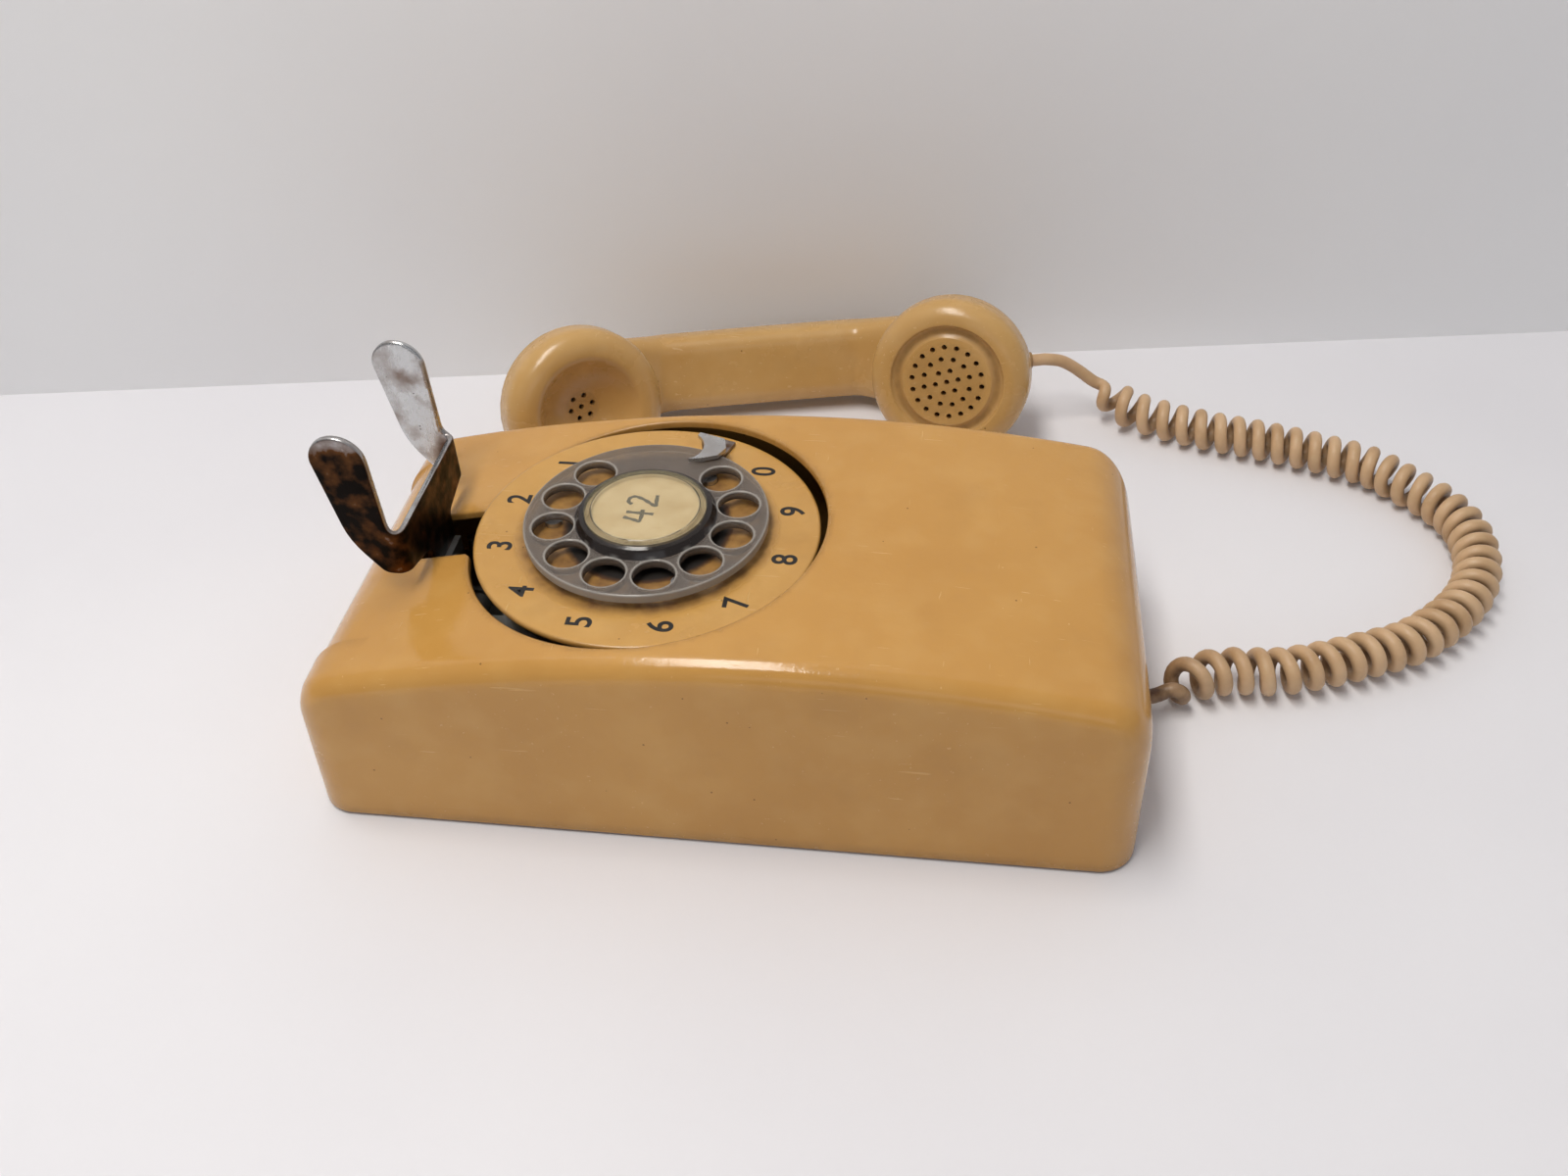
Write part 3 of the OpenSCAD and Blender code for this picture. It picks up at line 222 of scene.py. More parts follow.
def platedMetal(name, base, stain, rough, stained, grain=(1, 1, 1)):
    # rolled or turned metal with a thin plating: bright, finely brushed along the grain,
    # with darker tarnish in patches and small pits where the plating has gone
    material, tree = startMaterial(name)
    tarnish = product(tree, patches(tree, 9, 0.42, 0.68, detail=6), stained)
    pits = product(tree, specks(tree, 2.4, 0.28, 0.35), stained)
    brushed = patches(tree, 0.35, 0.3, 0.7, stretch=grain, shift=4.4)
    grime = grimeMask(tree)
    # the mask lays rust brown, then black; the black is painted shade, as on the hook's arm down in the slot
    rusty, blackShade = [
        addNode(tree, "ShaderNodeMapRange", {"Value": grime, "From Min": low, "From Max": high}).outputs[0]
        for low, high in ((0.12, 0.5), (0.5, 0.85))
    ]
    colour = layered(tree, base, (stain, tarnish), ("#2E2219", pits), ("#5A3A20", rusty), ("#16120F", blackShade))
    gloss = weightedSum(tree, rough, (tarnish, 0.25), (brushed, 0.12), (grime, 0.25))
    height = weightedSum(tree, brushed, (pits, -2.0))
    return finishMaterial(material, colour, gloss, height, 0.01, Metallic=1.0)


def dullSolid(name, base, other, size, rough, reach, fleck="#D8C8A8", stretch=(1, 1, 1)):
    # a non-metal with a mottled, slightly uneven skin: rubber, vinyl, laminate, tape or varnish
    material, tree = startMaterial(name)
    mottle = patches(tree, size, 0.3, 0.72, detail=5, stretch=stretch)
    flecks = product(tree, specks(tree, 5, 0.2, 0.3), 0.35)
    colour = layered(tree, base, (other, mottle), (fleck, flecks), ("#2B1C10", grimeMask(tree)))
    grain = patches(tree, size / 8, 0.3, 0.7, detail=3, stretch=stretch, shift=2.7)
    return finishMaterial(material, colour, weightedSum(tree, rough, (grain, 0.18)), grain, reach, IOR=1.5)


def clearPlastic(name, base, haze, alpha, rough, cloud=1.0):
    # cast acrylic, yellowed and handled: see-through, with a milky film of fine scratches and brown grease
    # that gathers where fingers and edges are; the dark layer is also painted shade at the hub, the pale rim
    # layer a painted highlight
    material, tree = startMaterial(name)
    film = patches(tree, 7, 0.35, 0.75, detail=6)
    grime = grimeMask(tree)
    # painted highlight: the rim attribute lays a pale, more opaque layer along the lips
    rim = addNode(tree, "ShaderNodeAttribute", attribute_name="rim").outputs["Fac"]
    milky = product(tree, film, 0.6 * cloud)
    colour = layered(tree, base, (haze, milky), ("#241D1A", grime), ("#DAD7D0", rim))
    cover = weightedSum(tree, alpha, (grime, 0.75), (film, 0.12 * cloud), (rim, 0.4), use_clamp=True)
    scratch = patches(tree, 0.6, 0.66, 0.72, stretch=(0.1, 1, 1), shift=8.8)
    gloss = weightedSum(tree, rough, (film, 0.18), (scratch, 0.25))
    return finishMaterial(material, colour, gloss, scratch, 0.02, IOR=1.49, Alpha=cover)


def agedPaper(name):
    # card, uncoated and yellowed: matt, fibrous, browner towards damp spots
    material, tree = startMaterial(name)
    damp = product(tree, specks(tree, 3, 0.2, 0.4), 0.6)
    colour = layered(tree, "#CDB68B", ("#B89B69", patches(tree, 8, 0.35, 0.8, detail=5)), ("#A5814A", damp))
    fibre = patches(tree, 0.5, 0.3, 0.7, stretch=(0.3, 1, 1))
    return finishMaterial(material, colour, 0.8, fibre, 0.02, IOR=1.5)


def inkMaterial(name, base, other, rough):
    # printing or writing ink: thin, dark, a little patchy where it has worn
    material, tree = startMaterial(name)
    worn = product(tree, patches(tree, 1.5, 0.5, 0.8, detail=5), 0.6)
    colour = layered(tree, base, (other, worn))
    return finishMaterial(material, colour, rough, patches(tree, 0.6, 0.3, 0.7), 0.01, IOR=1.5)


finishes = {
    "tan_shell": tanPlastic("moulded_tan_abs", "#C4924B", "#AE7B38", "#D7AD6C", "#6E4A22"),
    "handset_tan": tanPlastic("handled_tan_abs", "#C89F62", "#B78B4E", "#DAB988", "#5A3D1E", 0.2),
    "number_ring": tanPlastic("printed_tan_abs", "#CB9B53", "#B98741", "#D8B170", "#5E3A17", 0.16),
    "clear_amber": clearPlastic("smoky_acrylic", "#7F756D", "#5C534C", 0.5, 0.1),
    "clear_cover": clearPlastic("scratched_cover_acrylic", "#E4DAB8", "#C9BC98", 0.1, 0.08, 0.1),
    "card": agedPaper("yellowed_card"),
    "chromed_steel": platedMetal("pitted_chrome_on_steel", "#C9CACB", "#6B4A30", 0.16, 0.7, (1, 1, 0.2)),
    "plated_steel": platedMetal("zinc_plated_steel", "#A9ABAA", "#7C7568", 0.36, 0.5, (0.2, 1, 1)),
    "bright_steel": platedMetal("turned_steel", "#C4C5C6", "#8C857A", 0.24, 0.35),
    "brass": platedMetal("machined_brass", "#C9A55C", "#8A6430", 0.28, 0.5),
    "spring_alloy": platedMetal("nickel_silver_strip", "#C2B890", "#8A7C58", 0.26, 0.4, (1, 0.2, 1)),
    "core_iron": platedMetal("soft_iron", "#77787A", "#4D4238", 0.5, 0.5),
    "can_metal": platedMetal("drawn_aluminium", "#B4B9BC", "#85888A", 0.34, 0.35, (0.15, 1, 1)),
    "insulator": dullSolid("phenolic_laminate", "#5A3118", "#3F2110", 6, 0.5, 0.02, stretch=(0.2, 1, 1)),
    "cam_plastic": dullSolid("white_acetal", "#E2DBCB", "#CDC3AE", 8, 0.42, 0.01),
    "coil_tape": dullSolid("varnished_cloth_tape", "#6B2F18", "#47200F", 3, 0.4, 0.05, stretch=(1, 0.15, 1)),
    "dark_rubber": dullSolid("black_rubber", "#2A2521", "#3B322A", 5, 0.6, 0.03, fleck="#8A7A60"),
    "tan_rubber": dullSolid("tan_vinyl", "#9C7A50", "#86643D", 10, 0.45, 0.03),
}
print("stage 2: materials made:", len(finishes))


# Mesh helpers


def softened(outline, steps=4):
    # corners given as (x, y, radius) become short arcs; the outline is taken as open
    points = []
    for i, (x, y, radius) in enumerate(outline):
        if not radius or i in (0, len(outline) - 1):
            points.append((x, y))
            continue
        corner = Vector((x, y))
        before = (Vector(outline[i - 1][:2]) - corner).normalized() * radius
        after = (Vector(outline[i + 1][:2]) - corner).normalized() * radius
        for k in range(steps + 1):
            t = k / steps
            p = (corner + before) * (1 - t) ** 2 + corner * 2 * t * (1 - t) + (corner + after) * t ** 2
            points.append((p.x, p.y))
    return points


def lathe(profile, place, segments=128):
    # profile points (radius, height) turned about the local Z of place
    points, faces, rings = [], [], []
    for radius, height in profile:
        if radius < 1e-6:
            rings.append([len(points)])
            points.append(place @ Vector((0, 0, height)))
            continue
        rings.append(list(range(len(points), len(points) + segments)))
        for k in range(segments):
            a = 2 * math.pi * k / segments
            points.append(place @ Vector((radius * math.cos(a), radius * math.sin(a), height)))
    for low, high in zip(rings, rings[1:]):
        for k in range(segments):
            j = (k + 1) % segments
            corners = [low[k % len(low)], low[j % len(low)], high[j % len(high)], high[k % len(high)]]
            face = list(dict.fromkeys(corners))
            if len(face) > 2:
                faces.append(face)
    return points, faces


def slab(outline, low, high):
    # a flat outline of (x, y) pairs between two heights
    n = len(outline)
    points = [Vector((x, y, z)) for z in (low, high) for x, y in outline]
    faces = [list(range(n))[::-1], list(range(n, 2 * n))]
    faces += [[i, (i + 1) % n, n + (i + 1) % n, n + i] for i in range(n)]
    return points, faces


def joined(*parts):
    points, faces = [], []
    for morePoints, moreFaces in parts:
        start = len(points)
        points += morePoints
        faces += [[start + i for i in f] for f in moreFaces]
    return points, faces


def moved(part, place):
    return [place @ p for p in part[0]], part[1]


def meshObject(name, part, bevel=0.0, sharp=38, turnOut=True):
    mesh = bpy.data.meshes.new(name)
    mesh.from_pydata([tuple(p) for p in part[0]], [], part[1])
    bm = bmesh.new()
    bm.from_mesh(mesh)
    bmesh.ops.remove_doubles(bm, verts=bm.verts, dist=1e-5)
    if turnOut:
        bmesh.ops.recalc_face_normals(bm, faces=bm.faces)
    if bevel:
        edges = [e for e in bm.edges if e.is_manifold and e.calc_face_angle(0) > math.radians(30)]
        rounding = {"offset": bevel, "segments": 2, "profile": 0.6, "clamp_overlap": True}
        bmesh.ops.bevel(bm, geom=edges, affect="EDGES", **rounding)
    bmesh.ops.scale(bm, vec=(0.001, 0.001, 0.001), verts=bm.verts)
    bm.to_mesh(mesh)
    bm.free()
    mesh.shade_smooth()
    mesh.set_sharp_from_angle(angle=math.radians(sharp))
    piece = bpy.data.objects.new(name, mesh)
    scene.collection.objects.link(piece)
    return piece


def evaluatedMesh(holder):
    bpy.context.view_layer.update()
    return bpy.data.meshes.new_from_object(holder.evaluated_get(bpy.context.evaluated_depsgraph_get()))


def turnedBy(degrees, axis="Z"):
    return Matrix.Rotation(math.radians(degrees), 4, axis)


def dressed(piece, body, finish, *nodes):
    piece.data.materials.clear()
    piece.data.materials.append(finishes[finish])
    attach(piece, body)
    if nodes:
        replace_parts(piece, *nodes)
    return piece


def storeGrime(piece, amountAt, name="grime"):
    # amountAt takes a point in mm and gives 0 clean to 1 for dirt and painted shade, and up to 2 where
    # painted shade is black; the rim's painted highlight is stored the same way
    layerData = piece.data.attributes.new(name, "FLOAT", "POINT")
    layerData.data.foreach_set("value", [max(0.0, amountAt(v.co * 1000)) for v in piece.data.vertices])


def smoothstep(value):
    t = min(1.0, max(0.0, value))
    return t * t * (3 - 2 * t)


axes = Vector((1, 0, 0)), Vector((0, 1, 0)), Vector((0, 0, 1))


def neighbours(rows, i):
    # the rows before, at, after and two after i, for a smooth curve through them
    return [rows[min(max(i + k, 0), len(rows) - 1)] for k in (-1, 0, 1, 2)]


def curveTerms(p):
    # slope, bow and twist of the smooth curve between the middle two of four points
    bow = (2 * p[0] - 5 * p[1] + 4 * p[2] - p[3]) / 2
    twist = (3 * p[1] - p[0] - 3 * p[2] + p[3]) / 2
    return (p[2] - p[0]) / 2, bow, twist


def curveAt(p, t):
    slope, bow, twist = curveTerms(p)
    return p[1] + slope * t + bow * t * t + twist * t ** 3


# Curly cord, made first: the same route as the solid, in metres, with more rings and sides
# Each row of the route gives x, y, z and the turns wound so far

cordValues = {
    "diameter": 0.005,
    "curlDiameter": 0.0164,
    "ringsPerTurn": 26,
    "fewestRings": 5,
    "sides": 14,
    "length": 1.574,
    "darkestTurn": 19,
    "darkTurns": 6,
    "darkLead": 0.035,
    "route": [
        (0.1284, 0, 0.009, 0), (0.1314, 0, 0.009, 0), (0.1344, 0, 0.009, 0),
        (0.141, 0.003, 0.0088, 0.3), (0.1475, 0.009, 0.0086, 1.1), (0.156, 0.0134, 0.0086, 2.2),
        (0.166, 0.0153, 0.0086, 3.5), (0.177, 0.016, 0.0086, 5), (0.1916, 0.0203, 0.0086, 7),
        (0.2069, 0.0266, 0.0086, 9.2), (0.2228, 0.0341, 0.0086, 11.6), (0.2374, 0.0463, 0.0086, 14.1),
        (0.2487, 0.0601, 0.0086, 16.5), (0.2552, 0.0745, 0.0086, 18.6), (0.2575, 0.089, 0.0086, 20.6),
        (0.2562, 0.1024, 0.0086, 22.4), (0.25, 0.115, 0.0086, 24.3), (0.241, 0.1253, 0.0086, 26.1),
        (0.2303, 0.1361, 0.0086, 28.2), (0.2163, 0.1425, 0.0086, 30.3), (0.2017, 0.1478, 0.0086, 32.4),
        (0.1861, 0.1524, 0.0086, 34.6), (0.1701, 0.1566, 0.0086, 36.8), (0.1525, 0.1631, 0.0086, 39.2),
        (0.138, 0.1694, 0.01, 41), (0.128, 0.1754, 0.0144, 42.2), (0.1186, 0.1774, 0.021, 42.6),
        (0.1104, 0.1762, 0.0266, 42.6), (0.1036, 0.1746, 0.0284, 42.6), (0.1001, 0.1738, 0.0285, 42.6),
        (0.0972, 0.1731, 0.0285, 42.6),
    ],
}


def cordFrames(v):
    # centre, outward direction and turn of each ring along the wound cord
    route = v["route"]
    last = len(route) - 1
    turns = route[-1][3]
    radius = (v["curlDiameter"] - v["diameter"]) / 2
    frames = []
    for i in range(last):
        near = neighbours(route, i)
        p, w = [Vector(row[:3]) for row in near], [row[3] for row in near]
        slope, bow, twist = curveTerms(p)
        count = max(v["fewestRings"], math.ceil(v["ringsPerTurn"] * (w[2] - w[1])))
        for j in range(count + (i == last - 1)):
            t = j / count
            along = (slope + 2 * bow * t + 3 * twist * t * t).normalized()
            side = Vector((-along.y, along.x, 0)).normalized()
            turn = curveAt(w, t)
            angle = 2 * math.pi * turn
            out = math.cos(angle) * side + math.sin(angle) * along.cross(side)
            frames.append((curveAt(p, t) + radius * smoothstep(min(turn, turns - turn)) * out, out, turn))
    return frames


def makeCord(v):
    rings = cordFrames(v)
    points, grime, faces = [], [], []
    sides = v["sides"]
    travelled = 0.0
    for i, (place, out, turn) in enumerate(rings):
        ahead = rings[min(i + 1, len(rings) - 1)][0] - rings[max(i - 1, 0)][0]
        heading = ahead.normalized()
        first = (out - out.dot(heading) * heading).normalized()
        second = heading.cross(first)
        if i:
            travelled += (place - rings[i - 1][0]).length
        wound = smoothstep(min(turn, v["route"][-1][3] - turn) * 2)
        bend = math.exp(-((turn - v["darkestTurn"]) / v["darkTurns"]) ** 2)
        lead = math.exp(-travelled / v["darkLead"])
        for k in range(sides):
            a = 2 * math.pi * k / sides
            normal = math.cos(a) * first + math.sin(a) * second
            points.append((place + v["diameter"] / 2 * normal) * 1000)
            # painted shade between the curls over dust and grease: darker on the inside and flanks of each
            # curl, more at the bend, and the lead by the housing darkened all round
            gap = max(0.0, 0.55 - math.cos(a)) / 1.55 * wound   # the inside and flanks of each curl
            grime.append(min(1.0, gap * (0.5 + 0.35 * bend) + 1.1 * lead + 0.02))
    for i in range(len(rings) - 1):
        for k in range(sides):
            j = (k + 1) % sides
            faces.append([i * sides + k, i * sides + j, (i + 1) * sides + j, (i + 1) * sides + k])
    faces.append(list(range(sides))[::-1])
    faces.append([(len(rings) - 1) * sides + k for k in range(sides)])
    piece = meshObject("curly_cord", (points, faces), turnOut=False)
    layerData = piece.data.attributes.new("grime", "FLOAT", "POINT")
    layerData.data.foreach_set("value", grime[:len(piece.data.vertices)])
    path = [tuple(r[0]) for r in rings]
    print("cord centreline measures", round(travelled, 4), "m")
    return piece, path


def cordVinyl(name):
    # soft vinyl over tinsel wire, extruded and wound: satin tan, brown in the gaps between curls, partly
    # skin grease and dust where no hand or cloth reaches and partly painted shade
    material, tree = startMaterial(name)
    colour = layered(
        tree, "#D2B08A",
        ("#B8946C", patches(tree, 12, 0.35, 0.7, detail=4)),
        ("#D6BD96", product(tree, patches(tree, 3, 0.5, 0.8), 0.35)),
        ("#4E3014", grimeMask(tree, 1.15)),
    )
    grain = patches(tree, 0.7, 0.3, 0.7, detail=3)
    return finishMaterial(material, colour, weightedSum(tree, 0.36, (grain, 0.15)), grain, 0.03, IOR=1.5)


finishes["cord_vinyl"] = cordVinyl("greasy_tan_vinyl")
cordPiece, cordPath = makeCord(cordValues)
dressed(cordPiece, "phone", "cord_vinyl", "handset_cord")
print("stage 3: cord wound")


# A fine skin that openings are cut through, then closed with a wall and a rounded lip


def cutSkin(bm, distance, span):
    # distance(point) in mm is negative inside an opening; faces inside it go and its edge is exact
    close = 0.14 * span     # a vertex nearer to the edge than this is moved onto it
    step = 0.01
    far = {}
    for v in bm.verts:
        d = distance(v.co)
        if abs(d) < close:
            slope = Vector([(distance(v.co + step * axis) - d) / step for axis in axes])
            if slope.length > 0.5:
                v.co -= d * slope.normalized()
                d = 0.0
        far[v] = d
    onLine = [v for v in bm.verts if far[v] == 0.0]
    for edge in [e for e in bm.edges if far[e.verts[0]] * far[e.verts[1]] < -1e-12]:
        a, b = edge.verts
        share = far[a] / (far[a] - far[b])
        newVert = bmesh.utils.edge_split(edge, a, share)[1]
        far[newVert] = 0.0
        onLine.append(newVert)
    bmesh.ops.connect_verts(bm, verts=onLine)
    inside = [f for f in bm.faces if min(far[v] for v in f.verts) < -1e-9]
    bmesh.ops.delete(bm, geom=inside, context="FACES")
    loose = [v for v in bm.verts if not v.link_faces]
    bmesh.ops.delete(bm, geom=loose, context="VERTS")


def closedShell(bm, innerAt, intoAt, lip):
    # outer skin, its inner copy, and between them a lip that turns from the skin into the opening
    bm.normal_update()
    bm.verts.index_update()
    outer = [v.co.copy() for v in bm.verts]
    normals = [v.normal.copy() for v in bm.verts]
    inner = [innerAt(p, n) for p, n in zip(outer, normals)]
    faces = [[v.index for v in f.verts] for f in bm.faces]
    count = len(outer)
    points = outer + inner
    allFaces = faces + [[count + i for i in f][::-1] for f in faces]
    rim = {}
    steps = 4

    def rimAt(i):
        if i not in rim:
            into = intoAt(outer[i])
            n = normals[i]
            into = (into - into.dot(n) * n).normalized()
            ring = [i]
            for k in range(1, steps + 1):
                a = math.pi / 2 * k / steps
                ring.append(len(points))
                points.append(outer[i] + into * lip * math.sin(a) - n * lip * (1 - math.cos(a)))
            depth = (outer[i] - inner[i]).length
            ring.append(len(points))
            points.append(outer[i] + into * lip - n * max(lip, depth - 0.3))
            ring.append(count + i)
            rim[i] = ring
        return rim[i]

    for edge in bm.edges:
        if len(edge.link_faces) != 1:
            continue
        loop = edge.link_loops[0]
        a, b = rimAt(loop.vert.index), rimAt(loop.link_loop_next.vert.index)
        for k in range(len(a) - 1):
            allFaces.append([b[k], a[k], a[k + 1], b[k + 1]])
    bm.free()
    return points, allFaces


# Housing: the loft of the solid with finer stations, its scoop, opening, slot and cord hole

housingValues = {
    "length": 254, "width": 133, "crestHeight": 73.5, "crestX": 23, "faceRadius": 555, "crown": 1.5,
    "wall": 2.6, "cornerRadius": 12, "endRadius": 15, "edgeRadius": 7, "draft": 1.6, "rimGap": 0.5,
    "scoopWidth": 94, "scoopRadius": 28, "scoopX": -98.1, "scoopZ": 31.6,
    "dialX": -27, "openingDiameter": 112.4, "slotEnd": -105.7, "slotWidth": 21.6,
    "cordHeight": 9, "cordHole": 9.8, "cordDepth": 8, "cordTop": 30, "faceLow": 36, "lip": 0.7, "grid": 1.6,
}


def inset(distance, radius):
    return 0.0 if distance >= radius else radius - math.sqrt(max(0.0, radius ** 2 - (radius - distance) ** 2))


def housingPoint(v, x, y, z):
    lean = math.tan(math.radians(v["draft"])) * z
    p = Vector((x * (1 - lean / (v["length"] / 2)), y * (1 - lean / (v["width"] / 2)), z))
    share = smoothstep((v["scoopWidth"] / 2 + 0.45 - abs(y)) / 1.5)
    dx, dz = p.x - v["scoopX"], p.z - v["scoopZ"]
    reach = math.hypot(dx, dz)
    slope = math.asin(min(1.0, (v["crestX"] - v["scoopX"]) / v["faceRadius"]))
    if share > 0 and dx < -math.sin(slope) * v["scoopRadius"] and dz > 0 and reach > v["scoopRadius"]:
        scale = 1 + (v["scoopRadius"] / reach - 1) * share
        p.x, p.z = v["scoopX"] + dx * scale, v["scoopZ"] + dz * scale
    return p


def housingSection(v, x):
    half, wide, edge = v["length"] / 2, v["width"] / 2, v["edgeRadius"]
    d = half - abs(x)
    w = wide - inset(d, v["cornerRadius"])
    middle = v["crestHeight"] - (x - v["crestX"]) ** 2 / (2 * v["faceRadius"]) - inset(d, v["endRadius"])
    side = middle - v["crown"] * ((w - edge) / wide) ** 2
    bottom = v["rimGap"] + v["lip"]
    rows, curved = 16, 9
    flank = [(w, bottom + (side - edge - bottom) * k / rows) for k in range(rows)]
    for a in [math.pi / 2 * k / curved for k in range(curved)]:
        flank.append((w - edge + edge * math.cos(a), side - edge + edge * math.sin(a)))
    # columns crowd together at the step beside the scoop
    step = v["scoopWidth"] / 2
    flat = max(4, round((step - 1.2) / v["grid"]))
    inner = [(step - 1.2) * k / flat for k in range(1, flat + 1)]
    inner += [step + d for d in (-0.95, -0.7, -0.45, -0.2, 0.05, 0.3)]
    outerPart = [step + 0.42 + (w - edge - step - 0.42) * k / 6 for k in range(7)]
    across = [0.0] + inner + outerPart
    top = [(y, middle - v["crown"] * (y / wide) ** 2) for y in across]
    return flank, top


def makeHousing(v):
    half, r = v["length"] / 2, v["endRadius"]
    arc = [half - r * (1 - math.cos(math.pi / 2 * k / 14)) for k in range(15)]
    span = round(2 * (half - r) / v["grid"])
    middle = [-(half - r) + 2 * (half - r) * k / span for k in range(1, span)]
    stations = [-x for x in arc] + middle + arc[::-1]
    points, faces, rows = [], [], []
    for x in stations:
        flank, top = housingSection(v, x)
        line = [(-y, z) for y, z in flank] + [(-y, z) for y, z in top[::-1]] + top[1:] + flank[::-1]
        rows.append(list(range(len(points), len(points) + len(line))))
        points += [housingPoint(v, x, y, z) for y, z in line]
    for a, b in zip(rows, rows[1:]):
        faces += [[a[k], a[k + 1], b[k + 1], b[k]] for k in range(len(a) - 1)]
    for x, row in ((-half, rows[0]), (half, rows[-1])):
        flank, top = housingSection(v, x)
        across = [-y for y, z in top[::-1]] + [y for y, z in top[1:]]
        m = len(flank)
        lines = []
        for k in range(m):
            z = flank[k][1]
            start = len(points)
            points += [housingPoint(v, x, y, z) for y in across]
            lines.append([row[k]] + list(range(start, start + len(across))) + [row[-1 - k]])
        crownLine = row[m:len(row) - m]
        for low, high in zip(lines, lines[1:]):
            faces += [[low[k], low[k + 1], high[k + 1], high[k]] for k in range(len(low) - 1)]
        low = lines[-1]
        faces += [[low[k + 1], low[k + 2], crownLine[k + 1], crownLine[k]] for k in range(len(across) - 1)]
        faces += [[low[0], low[1], crownLine[0]], [low[-2], low[-1], crownLine[-1]]]
    bm = bmesh.new()
    made = [bm.verts.new(p) for p in points]
    for f in faces:
        bm.faces.new([made[i] for i in f])
    bmesh.ops.remove_doubles(bm, verts=bm.verts, dist=0.004)
    bmesh.ops.recalc_face_normals(bm, faces=bm.faces)
    bm.faces.ensure_lookup_table()
    highest = max(bm.faces, key=lambda f: f.calc_center_median().z)
    if highest.normal.z < 0:
        bmesh.ops.reverse_faces(bm, faces=bm.faces)

    def opening(p):
        # distance in mm to the edge of the cord hole, or of the dial opening and slot in the face
        if p.x > half - v["cordDepth"] and p.z < v["cordTop"]:
            return math.hypot(p.y, p.z - v["cordHeight"]) - v["cordHole"] / 2 - 0.3
        if p.z < v["faceLow"]:
            return 20.0
        hole = math.hypot(p.x - v["dialX"], p.y) - v["openingDiameter"] / 2 - v["lip"]
        soft = 1.0
        qx = abs(p.x - (v["slotEnd"] + v["dialX"]) / 2) - (v["dialX"] - v["slotEnd"]) / 2 + soft
        qy = abs(p.y) - v["slotWidth"] / 2 + soft
        slot = math.hypot(max(qx, 0), max(qy, 0)) + min(max(qx, qy), 0) - soft - v["lip"]
        return min(hole, slot)

    cutSkin(bm, opening, v["grid"])

    def into(p):
        if p.z < v["rimGap"] + v["lip"] + 0.05:
            return Vector((0, 0, -1))
        here = opening(p)
        return -Vector([opening(p + 0.05 * a) - here for a in axes])

    part = closedShell(bm, lambda p, n: p - v["wall"] * n, into, v["lip"])
    piece = meshObject("housing_shell", part, turnOut=False, sharp=60)

    def grime(p):
        lowEdge = 0.5 * math.exp(-(p.z - 0.5) / 2.2)
        rim = 0.4 * math.exp(-max(0.0, opening(p)) / 0.6) if p.z > v["faceLow"] else 0.0
        inScoop = p.x < -104 and p.z > 34
        step = 0.35 * math.exp(-((abs(p.y) - v["scoopWidth"] / 2) / 1.1) ** 2) if inScoop else 0.0
        return max(lowEdge, rim, step)

    storeGrime(piece, grime)
    return dressed(piece, "phone", "tan_shell", "housing")


housingPiece = makeHousing(housingValues)
print("stage 4: housing made,", len(housingPiece.data.polygons), "faces")


# Dial: number plate, digits, finger stop, finger wheel and card

dialValues = {
    "x": -27, "plateRadius": 54, "plateLow": 66.2, "plateHigh": 68.2, "plateHole": 12,
    "digitRadius": 45.7, "digitHeight": 7.8, "capitalShare": 0.72, "digitWidth": 0.92, "digitBold": 0.18,
    "inkThick": 0.03, "firstAngle": 14.4, "digitStep": 30,
    "wheelRadius": 38.1, "wheelLow": 70.5, "wheelHigh": 73.5, "hubRadius": 21.5, "hubHigh": 75.9,
    "cardRadius": 18.75, "cardEdge": 17.1, "cardRings": 5, "ringPitch": 0.42,
    "fingerRing": 28.8, "fingerHole": 12.6, "firstHole": 135.6, "holeStep": 30,
    "stopAngle": 71, "stopOut": 42.1, "stopLow": 74.2, "stopThick": 1.4, "stopWide": 9, "stopFoot": 50.6,
}
dialPlace = Matrix.Translation((dialValues["x"], 0, 0))


def makeNumberPlate(v):
    r, low, high = v["plateRadius"], v["plateLow"], v["plateHigh"]
    hole = v["plateHole"]
    profile = softened([
        (hole, low, 0), (r, low, 0.7), (r, high, 1.0), (r - 1.4, high, 0), (42, high, 0), (hole, high, 0),
    ], 5)
    rings = [profile[0]]
    for a, b in zip(profile, profile[1:]):
        parts = max(1, round(math.hypot(b[0] - a[0], b[1] - a[1]) / 1.5))
        for k in range(1, parts + 1):
            rings.append((a[0] + (b[0] - a[0]) * k / parts, a[1] + (b[1] - a[1]) * k / parts))
    piece = meshObject("number_plate_disc", lathe(rings + [profile[0]], dialPlace, 180))

    def grime(p):
        # under the wheel the plate is painted with the wheel's shadow over dirt, going black towards the hub;
        # a brown ring of dirt lies just outside the wheel, and the plate darkens towards its edge
        radius = math.hypot(p.x - v["x"], p.y)
        ring = 0.7 * math.exp(-((radius - 39.2) / 1.6) ** 2)
        under = 0.85 + 1.05 * smoothstep((27.5 - radius) / 4) if radius < 38 else 0.0
        return max(ring, under, 0.5 * smoothstep((radius - v["plateRadius"] + 1.1) / 1.1), 0.12)

    storeGrime(piece, grime)
    return dressed(piece, "phone", "number_ring", "number_plate")


